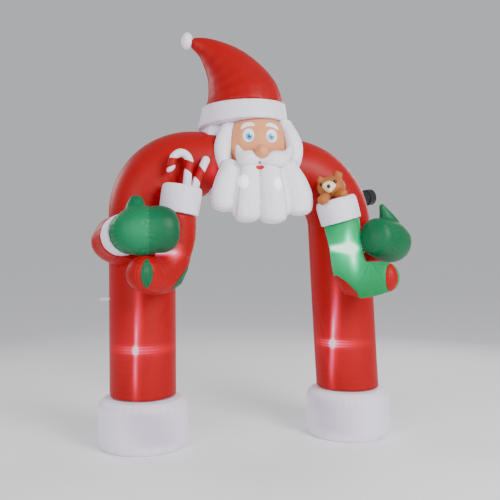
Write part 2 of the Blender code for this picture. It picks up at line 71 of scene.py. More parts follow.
# %% [markdown]
# ## Where things are
# The arch stands on its own middle, a little in front of the tubes' middle, because the arms and
# stockings reach forward. The face, hair and beard were laid out square to the viewer and then
# turned seven degrees. Two short functions turn a place on either of them into a place in the
# scene, so that every number below can be read on the object itself.

# %% Places on the arch and on the front of the head
ARCH = Matrix.Translation((0.017, 0.178, 0.0))
FRONT = ARCH @ Matrix.Translation((0.040, 0.0, 0.0)) @ Matrix.Rotation(math.radians(-7.0), 4, "Z")


def on_arch(x, y, z):
    return ARCH @ Vector((x, y, z))


def on_front(x, y, z):
    return FRONT @ Vector((x, y, z))


MM = 0.001
print("the beard's middle is at", [round(v, 3) for v in on_front(0.0, -0.35, 1.80)])

# %% [markdown]
# ## The camera
# It stands as the photographer did: at head height, a little to the left, and level. A 47 mm lens
# from that far keeps both feet and the cap's tip in the frame.

# %% Set up the camera
camera = bpy.data.objects.new("camera", bpy.data.cameras.new("camera"))
bpy.context.scene.collection.objects.link(camera)
camera.data.lens = 46.94
camera.data.sensor_width = 36.0
camera.location = (-1.007, -4.5984, 1.404)
camera.rotation_euler = Vector((0.2096, 0.9778, 0.0)).to_track_quat("-Z", "Y").to_euler()
bpy.context.scene.camera = camera
print("the camera stands", round(camera.location.xy.length, 2), "m away")

# %% [markdown]
# ## The colours of the cloth
# Dyed nylon is even in colour, so a few named colours do for the whole arch. They are written as
# the sRGB hex values that a colour picker shows, and one function turns them into the linear
# values that Blender calculates with.


# %% Hex colours to linear ones
def linear(hex_colour):
    """An sRGB hex colour as linear red, green, blue and alpha."""
    values = []
    for start in (1, 3, 5):
        share = int(hex_colour[start:start + 2], 16) / 255.0
        values.append(share / 12.92 if share <= 0.04045 else ((share + 0.055) / 1.055) ** 2.4)
    return (*values, 1.0)


print("the grey #808080 is", round(linear("#808080")[0], 3), "in linear light")


# %% Helpers for materials
def add_node(tree, kind, inputs=None, stops=(), **settings):
    """Add a node with its settings, and fill each input with a value or link it to a socket.
    A ramp also gets its stops: each is a place from 0 to 1 and a hex colour."""
    node = tree.nodes.new(kind)
    for name, value in settings.items():
        setattr(node, name, value)
    for key, value in (inputs or {}).items():
        if isinstance(value, bpy.types.NodeSocket):
            tree.links.new(value, node.inputs[key])
        else:
            node.inputs[key].default_value = value
    if stops:
        elements = node.color_ramp.elements
        while len(elements) < len(stops):
            elements.new(0.5)
        for element, (place, hex_colour) in zip(elements, stops):
            element.position, element.color = place, linear(hex_colour)
    return node


def new_material(name):
    """An empty material: itself, its nodes and its shader."""
    material = bpy.data.materials.new(name)
    material.use_nodes = True
    return material, material.node_tree, material.node_tree.nodes["Principled BSDF"]


def set_sockets(shader, values):
    """Numbers and colours that are the same all over the surface."""
    for socket, value in values.items():
        shader.inputs[socket].default_value = value


# %% [markdown]
# ## Coated nylon
# The cloth is a plain weave of about 210 denier with a thin coat on the inside that holds the air.
# The weave makes a soft, wide highlight, and the coat lets lamp light through. Its threads are
# 0.3 mm apart, which no render of a 3 m arch can show, so the weave is drawn ten times as coarse.
# Threads run along the surface on every side of the form, so the pattern is made of three waves,
# one along each direction of space. No unwrapping is needed, and it survives the remeshing.
#
# Light from the lamps inside is the other half of the look. It is added as soft balls of light
# round each lamp, squeezed to the long streaks that a row of threads makes of a bright point.

# %% The scale of the cloth and the light behind it
THREAD_SPACING = 3.0 * MM
CRINKLE_SIZE = 45.0 * MM
CLOUD_SIZE = 200.0 * MM
ROUGHNESS = 0.46
# A wave texture has this many waves to a metre when its scale is 1
WAVES_TO_A_METRE = 3.2


def lamp_light(tree, place, lamps):
    """The light of the lamps behind the cloth, from 0 to 1. A lamp is a centre, radii and power."""
    total = None
    for centre, radii, power in lamps:
        local = add_node(
            tree, "ShaderNodeMapping",
            {"Vector": place, "Location": tuple(centre), "Scale": radii}, vector_type="TEXTURE")
        ball = add_node(
            tree, "ShaderNodeTexGradient", {"Vector": local.outputs["Vector"]},
            gradient_type="QUADRATIC_SPHERE")
        light = add_node(
            tree, "ShaderNodeMath", {0: ball.outputs["Fac"], 1: power}, operation="MULTIPLY")
        if total is None:
            total = light.outputs[0]
        else:
            total = add_node(tree, "ShaderNodeMath", {0: total, 1: light.outputs[0]}).outputs[0]
    return total


# %% Weave, folds and glow
def coated_nylon(name, fold_stops, glow_stops, lamps, glow_strength):
    """A woven, coated cloth. The fold value that the seams leave paints shade into the bottom of
    each fold and light onto its back.
    """
    material, tree, shader = new_material(name)
    place = add_node(tree, "ShaderNodeTexCoord").outputs["Object"]

    cloud = add_node(
        tree, "ShaderNodeTexNoise",
        {"Vector": place, "Scale": 1.0 / CLOUD_SIZE, "Detail": 3.0}).outputs["Fac"]
    drift = add_node(
        tree, "ShaderNodeMath", {0: cloud, 1: 0.16, 2: -0.08}, operation="MULTIPLY_ADD").outputs[0]
    fold = add_node(tree, "ShaderNodeAttribute", attribute_name="fold").outputs["Fac"]
    shade = add_node(tree, "ShaderNodeMath", {0: fold, 1: drift}).outputs[0]
    colour = add_node(tree, "ShaderNodeValToRGB", {"Fac": shade}, fold_stops)
    tree.links.new(colour.outputs["Color"], shader.inputs["Base Color"])

    threads = None
    for axis in "XYZ":
        wave = add_node(
            tree, "ShaderNodeTexWave",
            {"Vector": place, "Scale": 1.0 / (THREAD_SPACING * WAVES_TO_A_METRE),
             "Distortion": 0.6, "Detail": 1.0},
            bands_direction=axis).outputs["Fac"]
        if threads is None:
            threads = wave
        else:
            threads = add_node(
                tree, "ShaderNodeMath", {0: threads, 1: wave}, operation="MULTIPLY").outputs[0]
    crinkle = add_node(
        tree, "ShaderNodeTexNoise",
        {"Vector": place, "Scale": 1.0 / CRINKLE_SIZE, "Detail": 4.0, "Roughness": 0.6,
         "Distortion": 0.8}).outputs["Fac"]
    soft = add_node(
        tree, "ShaderNodeBump", {"Height": crinkle, "Strength": 0.22, "Distance": 4.0 * MM})
    weave = add_node(
        tree, "ShaderNodeBump",
        {"Height": threads, "Strength": 0.10, "Distance": 0.5 * MM,
         "Normal": soft.outputs["Normal"]})
    tree.links.new(weave.outputs["Normal"], shader.inputs["Normal"])

    gloss = add_node(
        tree, "ShaderNodeMapRange",
        {"Value": crinkle, "To Min": ROUGHNESS - 0.07, "To Max": ROUGHNESS + 0.09})
    tree.links.new(gloss.outputs["Result"], shader.inputs["Roughness"])
    set_sockets(shader, {
        "IOR": 1.53, "Sheen Weight": 0.03, "Sheen Roughness": 0.35, "Specular IOR Level": 0.20,
        "Emission Color": linear(glow_stops[0][1]), "Emission Strength": glow_strength})
    if lamps:
        light = lamp_light(tree, place, lamps)
        glow = add_node(tree, "ShaderNodeValToRGB", {"Fac": light}, glow_stops)
        tree.links.new(glow.outputs["Color"], shader.inputs["Emission Color"])
    return material


# %% Place the light of the lamps
# Each ball of light: its centre, its radii in metres and its power
LEG_STREAKS = []
for leg_x, lamp_z in ((-0.856, 0.712), (0.584, 0.710)):
    lamp = on_arch(leg_x, -0.200, lamp_z)
    LEG_STREAKS += [
        (lamp, (0.034, 0.090, 0.056), 2.20),
        (lamp + Vector((0.006, 0, 0.10)), (0.024, 0.14, 0.26), 0.80),
        (lamp + Vector((0.020, 0, 0.24)), (0.052, 0.14, 0.52), 0.56),
        (lamp + Vector((0.0, 0, -0.13)), (0.026, 0.14, 0.30), 0.66),
        (lamp + Vector((0.003, 0, -0.22)), (0.050, 0.14, 0.34), 0.32),
        (lamp + Vector((0.060, 0.04, 0.0)), (0.340, 0.26, 0.064), 0.46),
        (lamp, (0.500, 0.50, 0.360), 0.12),
    ]
    # The level threads split the lamp's glare into three fine lines
    for rise in (-0.020, 0.0, 0.020):
        LEG_STREAKS.append((lamp + Vector((0.025, 0.02, rise)), (0.190, 0.20, 0.010), 0.50))
BEARD_SIDE_GLOW = [(on_arch(-0.308, -0.200, 1.964), (0.085, 0.12, 0.130), 0.40)]
STOCKING_GLOW = [
    (on_arch(-0.700, -0.400, 1.392), (0.130, 0.20, 0.046), 1.60),
    (on_arch(-0.610, -0.450, 1.385), (0.110, 0.18, 0.070), 0.95),
]
GREEN_LAMP = on_arch(0.612, -0.475, 1.418)
GREEN_GLOW = [
    (GREEN_LAMP, (0.110, 0.24, 0.070), 1.00),
    (GREEN_LAMP + Vector((-0.050, 0.045, -0.002)), (0.170, 0.26, 0.046), 1.60),
    (GREEN_LAMP + Vector((-0.012, 0.0, 0.065)), (0.046, 0.30, 0.170), 0.62),
    (GREEN_LAMP + Vector((0.020, -0.030, -0.080)), (0.050, 0.30, 0.190), 0.70),
    (GREEN_LAMP + Vector((-0.015, 0, -0.020)), (0.340, 0.60, 0.330), 0.52),
]
# The mitten has no lamp of its own, only a little light from the stocking's
MITTEN_GLOW = [(on_arch(-0.840, -0.600, 1.540), (0.300, 0.40, 0.260), 0.85)]
BEARD_GLOW = [
    (on_arch(-0.135, -0.430, 1.874), (0.060, 0.16, 0.080), 4.0),
    (on_arch(0.100, -0.466, 1.861), (0.056, 0.16, 0.076), 3.2),
]
print("placed", len(LEG_STREAKS) + len(GREEN_GLOW) + len(STOCKING_GLOW), "balls of light")

# %% Dye the cloths, with painted shade and light on their folds
# Each dye: its colour with painted shade in a fold's bottom, its colour on the level, and its colour
# with painted light on a fold's back
DYES_WITH_PAINTED_FOLD_SHADE = {
    "red": ("#640003", "#9A0003", "#AE0206"),
    "white": ("#C4BDD0", "#ECE8F1", "#F6F4F8"),
    "lilac_white": ("#B8AEC6", "#E2DBE9", "#EFEAF3"),
    "skin": ("#B8734E", "#DD9468", "#E9A47A"),
    "green": ("#032C18", "#0A5C38", "#157C4E"),
    "bright_green": ("#004E2A", "#008245", "#049C58"),
    "brown": ("#6A3816", "#A5602E", "#BA7640"),
    "tan": ("#BFA27A", "#E6CFA6", "#F0DDBC"),
}
# The light that comes through each dye: away from the lamps first, then nearer and nearer
GLOWS = {
    "red": [(0.0, "#480003"), (0.22, "#B80A28"), (0.55, "#FF4A8A"), (1.0, "#FFF0FF")],
    "white": [(0.0, "#3E3C42"), (0.45, "#6E6E78"), (1.0, "#F4F4FF")],
    "lilac_white": [(0.0, "#3E3C42")],
    "skin": [(0.0, "#3A1A0C")],
    "green": [(0.0, "#010A05"), (1.0, "#1E9A68")],
    "bright_green": [(0.0, "#00341C"), (0.28, "#00855A"), (0.6, "#38D8A0"), (1.0, "#F4FFFA")],
    "brown": [(0.0, "#0E0603")],
    "tan": [(0.0, "#14110C")],
}
LAMPS = {
    "red": LEG_STREAKS + BEARD_SIDE_GLOW + STOCKING_GLOW, "white": BEARD_GLOW,
    "green": MITTEN_GLOW, "bright_green": GREEN_GLOW}
GLOW_STRENGTH = {"bright_green": 1.7}
cloth = {}
for dye, (valley, level, ridge) in DYES_WITH_PAINTED_FOLD_SHADE.items():
    cloth[dye] = coated_nylon(
        dye + "_coated_nylon", [(0.15, valley), (0.50, level), (0.85, ridge)],
        GLOWS[dye], LAMPS.get(dye, []), GLOW_STRENGTH.get(dye, 1.0))
print("dyed", len(cloth), "cloths")

# %% [markdown]
# ## Small parts that are not cloth
# Eyes, brows and mouth are printed or cut from bright film and sewn on. The blower is moulded in
# black ABS, which is slightly grainy from the spark-eroded mould. The webbing of the tether tab is
# thick woven polyester.


# %% Film, plastic and webbing
def plain_material(name, hex_colour, roughness, grain_mm, grain_depth_mm, emission="#000000"):
    """A solid colour with a fine grain, for printed film, moulded plastic and webbing."""
    material, tree, shader = new_material(name)
    place = add_node(tree, "ShaderNodeTexCoord").outputs["Object"]
    grain = add_node(
        tree, "ShaderNodeTexNoise",
        {"Vector": place, "Scale": 1.0 / (grain_mm * MM), "Detail": 3.0}).outputs["Fac"]
    bump = add_node(
        tree, "ShaderNodeBump",
        {"Height": grain, "Strength": 0.35, "Distance": grain_depth_mm * MM})
    tree.links.new(bump.outputs["Normal"], shader.inputs["Normal"])
    gloss = add_node(
        tree, "ShaderNodeMapRange",
        {"Value": grain, "To Min": roughness - 0.06, "To Max": roughness + 0.06})
    tree.links.new(gloss.outputs["Result"], shader.inputs["Roughness"])
    set_sockets(shader, {
        "Base Color": linear(hex_colour), "Emission Color": linear(emission),
        "Emission Strength": 1.0})
    return material


# The last colour of a film, where it has one, is a faint glow: painted light, as of the lamps inside
# the arch
film = {
    "white": plain_material("white_printed_film", "#F7F7FA", 0.40, 9.0, 0.3, "#202022"),
    "blue": plain_material("blue_printed_film", "#45A9E6", 0.38, 9.0, 0.3, "#03131E"),
    "dark_blue": plain_material("dark_blue_printed_film", "#17507C", 0.38, 9.0, 0.3),
    "red": plain_material("red_printed_film", "#C4121A", 0.40, 9.0, 0.3, "#1A0002"),
    "black": plain_material("black_printed_film", "#0B0B0C", 0.25, 9.0, 0.2),
}
abs_plastic = plain_material("black_moulded_abs", "#111214", 0.52, 2.5, 0.25)
steel_wire = plain_material("black_coated_steel_wire", "#1B1C1F", 0.38, 4.0, 0.1)
webbing = plain_material("white_polyester_webbing", "#ECEAEE", 0.70, 3.0, 0.8)
print("mixed", len(film) + 3, "hard finishes")

# %% [markdown]
# ## From solid to cloth
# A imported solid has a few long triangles, which can't pucker. A voxel remesh gives it an even grid
# of small squares instead, as fine as the folds to come need. A short relax takes off the steps
# that voxels leave, and rounds the rims where two panels meet, as a sewn seam does.


# %% Helpers for pieces
def link(piece):
    bpy.context.scene.collection.objects.link(piece)
    return piece


def bake(piece):
    """Apply all modifiers of a piece to its mesh."""
    graph = bpy.context.evaluated_depsgraph_get()
    mesh = bpy.data.meshes.new_from_object(piece.evaluated_get(graph))
    old = piece.data
    piece.modifiers.clear()
    piece.data = mesh
    bpy.data.meshes.remove(old)


def points_of(piece):
    values = np.empty(len(piece.data.vertices) * 3)
    piece.data.vertices.foreach_get("co", values)
    return values.reshape(-1, 3)


def normals_of(piece):
    values = np.empty(len(piece.data.vertices) * 3)
    piece.data.vertex_normals.foreach_get("vector", values)
    return values.reshape(-1, 3)


def set_points(piece, points):
    piece.data.vertices.foreach_set("co", np.ascontiguousarray(points).ravel())
    piece.data.update()


def finish_piece(piece, material, node=None):
    """Give a piece its cloth and its body, and hide the node that it stands for, if any."""
    piece.data.materials.clear()
    piece.data.materials.append(material)
    piece.data.shade_smooth()
    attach(piece, "root")
    if node:
        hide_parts(node)


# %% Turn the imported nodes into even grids
panels = {}


def cloth_from(node, cell_mm, relax, colour):
    """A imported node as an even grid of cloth."""
    piece = link(bpy.data.objects.new(node + "_cloth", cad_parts[node].data.copy()))
    grid = piece.modifiers.new("grid", "REMESH")
    grid.mode = "VOXEL"
    grid.voxel_size = cell_mm * MM
    smooth = piece.modifiers.new("relax", "SMOOTH")
    smooth.factor = 0.5
    smooth.iterations = relax
    bake(piece)
    finish_piece(piece, cloth[colour], node)
    panels[node] = piece


# Node, grid in mm, relax steps, cloth
PANELS = [
    ("arch_tube_left", 22, 3, "red"), ("arch_tube_right", 22, 3, "red"),
    ("foot_left", 20, 1, "lilac_white"), ("foot_right", 20, 1, "lilac_white"),
    ("head", 18, 2, "lilac_white"), ("cap_band", 14, 1, "lilac_white"), ("cap", 15, 3, "red"),
    ("pom", 7, 2, "white"), ("face", 14, 2, "skin"), ("nose", 6, 2, "skin"),
    ("hair_left", 9, 2, "white"), ("hair_right", 9, 2, "white"),
    ("beard", 11, 2, "white"), ("moustache", 8, 2, "white"),
    ("sleeve_left", 14, 2, "red"), ("sleeve_right", 14, 2, "red"),
    ("arm_cuff_left", 10, 2, "lilac_white"), ("arm_cuff_right", 10, 2, "lilac_white"),
    ("mitten_left", 10, 2, "green"), ("mitten_right", 10, 2, "green"),
    ("stocking_left", 11, 2, "red"), ("stocking_right", 11, 2, "bright_green"),
    ("stocking_cuff_left", 11, 1, "lilac_white"), ("stocking_cuff_right", 11, 1, "lilac_white"),
    ("toe_panel_left", 3.4, 2, "green"), ("heel_panel_left", 3.6, 2, "green"),
    ("toe_panel_right", 3.6, 2, "red"), ("heel_panel_right", 3.6, 2, "red"),
    ("bear_head", 5, 2, "brown"), ("bear_muzzle", 4, 2, "tan"),
    ("bear_paw_left", 4, 2, "brown"), ("bear_paw_right", 4, 2, "brown"),
]
for node, cell_mm, relax, colour in PANELS:
    cloth_from(node, cell_mm, relax, colour)
count = sum(len(piece.data.vertices) for piece in panels.values())
print("made", len(panels), "cloth pieces,", count, "points")

# %% [markdown]
# ## Keeping neighbours apart
# Full panels press on each other but never pass through. After each change of shape, a point that
# has got into a neighbour's solid is put back on its surface, with a hair's gap.

# %% Neighbours
def tree_of(mesh):
    """A mesh as a tree that quickly finds the nearest place on it, or the first one on a line."""
    shape = bmesh.new()
    shape.from_mesh(mesh)
    tree = BVHTree.FromBMesh(shape)
    shape.free()
    return tree


trees = {name: tree_of(node.data) for name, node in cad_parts.items()}
boxes = {name: [np.array(corner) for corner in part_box(name)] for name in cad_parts}
NEIGHBOUR_REACH = 0.03

# A toe or heel panel is sewn into its stocking, so the three are never pushed apart from each other
SEWN_IN = {}
for side in ("left", "right"):
    family = {"stocking_" + side, "toe_panel_" + side, "heel_panel_" + side}
    for node in family:
        SEWN_IN[node] = family
print("made", len(trees), "trees")


# %% Measure and mend
def neighbours_of(node):
    """The nodes whose boxes come near this one's."""
    low, high = boxes[node][0] - NEIGHBOUR_REACH, boxes[node][1] + NEIGHBOUR_REACH
    apart = {node, *SEWN_IN.get(node, ())}
    return [
        other for other, (other_low, other_high) in boxes.items()
        if other not in apart and (other_low < high).all() and (other_high > low).all()]


def gap_to_neighbours(node, points, reach):
    """Distance from each point to the nearest neighbour, no further than reach."""
    gaps = np.full(len(points), reach)
    for other in neighbours_of(node):
        low, high = boxes[other]
        inside = ((points > low - reach) & (points < high + reach)).all(axis=1)
        for index in np.nonzero(inside)[0]:
            distance = trees[other].find_nearest(Vector(points[index]), gaps[index])[3]
            if distance is not None:
                gaps[index] = min(gaps[index], distance)
    return gaps


CLEARANCE = 0.6 * MM


def stay_clear(node):
    """Put points that have got into a neighbour back on its surface."""
    piece = panels[node]
    points = points_of(piece)
    moved = 0
    for other in neighbours_of(node):
        low, high = boxes[other]
        inside = ((points > low) & (points < high)).all(axis=1)
        for index in np.nonzero(inside)[0]:
            point = Vector(points[index])
            place, normal, _, distance = trees[other].find_nearest(point, 0.05)
            if place is None:
                continue
            # Beside a sharp edge the face's normal alone can't tell inside from outside
            height = (point - place).dot(normal)
            if distance < CLEARANCE or height < -0.7 * distance:
                points[index] = place + normal * CLEARANCE
                moved += 1
    set_points(piece, points)
    return moved


print("the beard has", len(neighbours_of("beard")), "neighbours")

# %% [markdown]
# ## Filling the soft shapes with air
# Mittens are small bags with more cloth than they need, and stockings have a little to spare, so
# the air throws it into folds that run away from the seams. That can be drawn, but it is easier to
# let it happen: the cloth solver gets a little slack cloth, air pressure, and seams that hold
# still. A cap on how far a point may travel keeps each bag within the size that it was cut to.
# All other panels are so tight that the solver would add nothing to them.

# %% Simulate the air
AIR_FRAMES = 16
SEAM_REACH = 12.0 * MM
# The seam across the fingers of the left mitten, where its cloth is held: a point and a normal
FINGER_SEAM = (on_arch(-0.772, -0.512, 1.532), (1.0, -0.12, 0.0))
# Light, limp cloth that hardly stretches
AIR_SETTINGS = {
    "quality": 4, "mass": 0.15, "tension_stiffness": 25.0, "compression_stiffness": 25.0,
    "shear_stiffness": 8.0, "bending_stiffness": 0.15, "use_pressure": True,
    "uniform_pressure_force": 4.0, "vertex_group_mass": "sewn",
}
# Node, slack of the cloth, most travel in mm
BAGS = [
    ("mitten_left", 0.05, 11), ("mitten_right", 0.04, 9),
    ("stocking_left", 0.010, 3), ("stocking_right", 0.010, 3),
]


def plane_distance(points, point, normal):
    """How far points are in front of a plane."""
    return (points - np.array(point)) @ np.array(Vector(normal).normalized())


def add_air(node, slack):
    """Hold a bag at its seams and fill it. Gives back the points as they were before."""
    piece = panels[node]
    points = points_of(piece)
    held = gap_to_neighbours(node, points, SEAM_REACH) < SEAM_REACH - 0.1 * MM
    for other in SEWN_IN.get(node, ()):
        if other != node:
            low, high = boxes[other]
            held |= ((points > low - SEAM_REACH) & (points < high + SEAM_REACH)).all(axis=1)
    if node == "mitten_left":
        held |= np.abs(plane_distance(points, *FINGER_SEAM)) < 5.0 * MM
    group = piece.vertex_groups.new(name="sewn")
    group.add([int(index) for index in np.nonzero(held)[0]], 1.0, "REPLACE")
    air = piece.modifiers.new("air", "CLOTH")
    for name, value in AIR_SETTINGS.items():
        setattr(air.settings, name, value)
    air.settings.shrink_min = -slack
    air.settings.effector_weights.gravity = 0.0
    air.point_cache.frame_start, air.point_cache.frame_end = 1, AIR_FRAMES
    return points


starts = {node: add_air(node, slack) for node, slack, _ in BAGS}
for step in range(1, AIR_FRAMES + 1):
    bpy.context.scene.frame_set(step)
for node, _, most_mm in BAGS:
    bake(panels[node])
    points = points_of(panels[node])
    travel = points - starts[node]
    length = np.linalg.norm(travel, axis=1)
    share = np.minimum(1.0, most_mm * MM / np.maximum(length, 1e-9))
    set_points(panels[node], starts[node] + travel * share[:, None])
    print(node, "moved by", round(float(length.mean()) / MM, 1), "mm on average")
bpy.context.scene.frame_set(1)

# %% [markdown]
# ## Finer cloth
# The grid is doubled once, so that folds a few centimetres long come out round. The head, which is
# mostly hidden, and the small panels, which started on a fine grid, keep theirs.

# %% Double the grid
KEPT_COARSE = {
    "head", "bear_head", "bear_muzzle", "bear_paw_left", "bear_paw_right", "pom", "nose",
    "toe_panel_left", "heel_panel_left", "toe_panel_right", "heel_panel_right"}
for node, piece in panels.items():
    if node not in KEPT_COARSE:
        finer = piece.modifiers.new("finer", "SUBSURF")
        finer.levels = finer.render_levels = 1
        bake(piece)
folds = {node: np.zeros(len(piece.data.vertices)) for node, piece in panels.items()}
print("now", sum(len(piece.data.polygons) for piece in panels.values()) * 2, "triangles")

# %% [markdown]
# ## Seams and puckers
# Along a seam the needle draws the cloth in by a few per cent. The loose cloth beside it has to go
# somewhere, so it stands in short folds square to the seam, deepest at the seam and mostly gone a
# hand's width away. One function does this for any seam that lies in a plane. It also writes down
# how far each point went, and the cloth's colour uses that to paint shade into the bottom of each
# fold and light onto its back.


# %% Gather the cloth along a seam
def waves(turn, count, seed):
    """Uneven folds round a seam, from -1 to 1."""
    drift = 1.1 * np.sin(3 * turn + seed) + 0.8 * np.sin(7 * turn + 2.3 * seed)
    coarse = np.sin(count * turn + drift)
    fine = np.sin(2.37 * round(count) * turn + 1.7 * drift + seed)
    size = 0.65 + 0.35 * np.sin(5 * turn + 3.1 * seed)
    return size * (0.72 * coarse + 0.28 * fine)


def shift_points(node, move, shade=None):
    """Move each point along its normal, and add the move, or a shade, to the fold's record."""
    piece = panels[node]
    set_points(piece, points_of(piece) + normals_of(piece) * move[:, None])
    folds[node] += move if shade is None else shade


def round_axis(points, origin, facing):
    """How far each point is from an axis, and at what angle round it."""
    away = Vector(facing).normalized()
    across = away.orthogonal().normalized()
    along = away.cross(across)
    rel = points - np.array(origin)
    first, second = rel @ np.array(across), rel @ np.array(along)
    return np.hypot(first, second), np.arctan2(second, first)


def gather(node, point, normal, reach_mm, depth_mm, spacing_mm, valley_mm,
           side=0, seed=1.0, where=None):
    """Draw the cloth in along a seam in a plane and let it pucker on both sides, or on one.
    Its folds have a reach, a depth and a spacing, and the seam itself sinks into a valley."""
    points = points_of(panels[node])
    depth = plane_distance(points, point, normal)
    near = np.abs(depth) < 0.02
    if not near.any():
        print("no cloth at the seam on", node)
        return
    distance, turn = round_axis(points, points[near].mean(axis=0), normal)
    length = 2 * math.pi * float(distance[near].mean())
    count = max(6, round(length / (spacing_mm * MM)))
    fade = np.exp(-np.abs(depth) / (reach_mm * MM))
    if side:
        fade = fade * (depth * side > -0.002)
    valley = valley_mm * MM * np.exp(-(depth / 0.006) ** 2)
    fold = depth_mm * MM * waves(turn, count, seed) * fade
    here = 1.0 if where is None else where(points)
    # The fold's record also takes part of the seam's valley, so shade is painted along the seam
    shift_points(node, (fold - valley) * here, (fold - 0.4 * valley) * here)


# %% Draw a band tight
def soft_step(values, low, high):
    """From 0 below low to 1 above high, with no corner on the way."""
    share = np.clip((values - low) / (high - low), 0.0, 1.0)
    return share * share * (3 - 2 * share)


def draw_tight(node, start, end, depths, cad_radii, tight_radii):
    """Give a band straight sides: at each depth from its start, the wall that has the solid's
    radius gets the tighter one."""
    points = points_of(panels[node])
    axis = (end - start).normalized()
    depth = plane_distance(points, start, axis)
    offset = points - np.array(start) - depth[:, None] * np.array(axis)
    radius = np.linalg.norm(offset, axis=1)
    cad_radius = np.interp(depth, depths, cad_radii)
    wall = 1.0 - soft_step(np.abs(radius - cad_radius), 0.010, 0.024)
    change = (np.interp(depth, depths, tight_radii) - radius) * wall * 0.9
    set_points(panels[node], points + offset * (change / np.maximum(radius, 1e-6))[:, None])


# %% [markdown]
# ## The two legs and shoulders
# A leg is a plain tube, so tight that it shows only fine level ripples where the weave gives. On
# the inside of the shoulder the cloth has to take a shorter way than outside, and the spare length
# lies in fine folds that run across the tube.

# %% Round off the tubes
TUBE_RADIUS = 0.237
# Where the legs stand in the scene
LEG_Y = 0.178
LEG_X = {"left": -0.773, "right": 0.792}
# On the arch: x of the foot; x, z and radius of the bend; height of the crown
TUBES = {
    "left": {"sign": -1.0, "foot_x": -0.790, "bend": (-0.427, 1.665, 0.370), "crown": 2.045},
    "right": {"sign": 1.0, "foot_x": 0.775, "bend": (0.265, 1.572, 0.435), "crown": 2.020},
}


def tube_path(tube):
    """The middle line of a tube, from the foot to the head."""
    bend_x, bend_z, bend_radius = tube["bend"]
    leg_x = bend_x + tube["sign"] * bend_radius
    places = []
    for step in range(60):
        share = step / 60
        lean = tube["foot_x"] + (leg_x - tube["foot_x"]) * share ** 0.9
        places.append(on_arch(lean, 0.0, 0.30 + (bend_z - 0.30) * share))
    for step in range(49):
        angle = math.pi / 2 * step / 48
        x = bend_x + tube["sign"] * bend_radius * math.cos(angle)
        places.append(on_arch(x, 0.0, bend_z + bend_radius * math.sin(angle)))
    for step in range(1, 13):
        x = bend_x - tube["sign"] * 0.30 * step / 12
        places.append(on_arch(x, 0.0, tube["crown"] - 0.010 * (1 - step / 12)))
    return np.array(places)


for side, tube in TUBES.items():
    node = "arch_tube_" + side
    points = points_of(panels[node])
    path = tube_path(tube)
    nearest = np.empty(len(points), dtype=int)
    for start in range(0, len(points), 4000):
        gaps = np.linalg.norm(points[start:start + 4000, None, :] - path[None, :, :], axis=2)
        nearest[start:start + 4000] = gaps.argmin(axis=1)
    before = path[np.maximum(nearest - 1, 0)]
    after = path[np.minimum(nearest + 1, len(path) - 1)]
    ahead = (after - before) / np.linalg.norm(after - before, axis=1)[:, None]
    offset = points - path[nearest]
    offset = offset - ahead * (offset * ahead).sum(axis=1)[:, None]
    distance = np.linalg.norm(offset, axis=1)
    wall = 1.0 - soft_step(np.abs(distance - TUBE_RADIUS), 0.016, 0.028)
    rounder = (TUBE_RADIUS - 0.0005) / np.maximum(distance, 1e-6)
    set_points(panels[node], points + offset * ((rounder - 1.0) * wall)[:, None])
    print(node, "rounded at", int((wall > 0.5).sum()), "points")

# %% Ripple the legs and crease the shoulders
RIPPLE_SPACING = 43.0 * MM
CREASE_SPACING = 65.4545 * MM
for side, tube in TUBES.items():
    node, sign = "arch_tube_" + side, tube["sign"]
    bend_x, bend_z, bend = tube["bend"]
    centre = on_arch(bend_x, 0.0, bend_z)
    points = points_of(panels[node])
    height = points[:, 2]
    turn = np.arctan2(points[:, 1] - centre.y, points[:, 0] - centre.x)
    wander = 1.6 * np.sin(turn * 2.0 + height * 3.0)
    level = np.sin(height * 2 * math.pi / RIPPLE_SPACING + wander)
    patch = 0.5 + 0.5 * np.sin(height * 7.3 + turn * 3.0)
    leg = 1.0 - soft_step(height, centre.z - 0.25, centre.z + 0.05)
    ripple = 0.25 * MM * level * patch * leg
    arc = np.arctan2(height - centre.z, sign * (points[:, 0] - centre.x))
    from_middle = np.hypot(points[:, 0] - centre.x, height - centre.z)
    inner = 1.0 - soft_step(from_middle, bend - 0.20, bend + 0.03)
    bending = soft_step(arc, -0.15, 0.35) * (1.0 - soft_step(arc, 1.35, 1.75))
    wander = 1.2 * np.sin(points[:, 1] * 24.0)
    crease = np.sin(arc * bend * 2 * math.pi / CREASE_SPACING + wander)
    # The left shoulder bends more tightly, so its creases are twice as deep
    depth = (2.4 if side == "left" else 1.2) * MM
    shift_points(node, ripple + depth * crease * inner * bending)
    gather(node, (LEG_X[side], LEG_Y, 0.356), (0, 0, 1), 30, 1.2, 30, 1.0, seed=2.0)
# Where the tubes run into the head
gather("arch_tube_left", on_arch(-0.335, 0.0, 2.05), (1.0, 0.0, -0.30), 26, 1.6, 60, 1.2, seed=4.1)
gather("arch_tube_right", on_arch(0.285, 0.0, 2.02), (-1.0, 0.0, -0.20), 26, 1.4, 60, 1.0, seed=1.4)
print("legs and shoulders creased")

# %% [markdown]
# ## The drum feet
# Each foot is a drum of heavier white cloth with a flat ring on top, joined by a seam round the
# shoulder. It holds water or sand bags, so its wall slumps a little and isn't quite round.

# %% Slump the feet
FOOT_RADIUS = 0.319
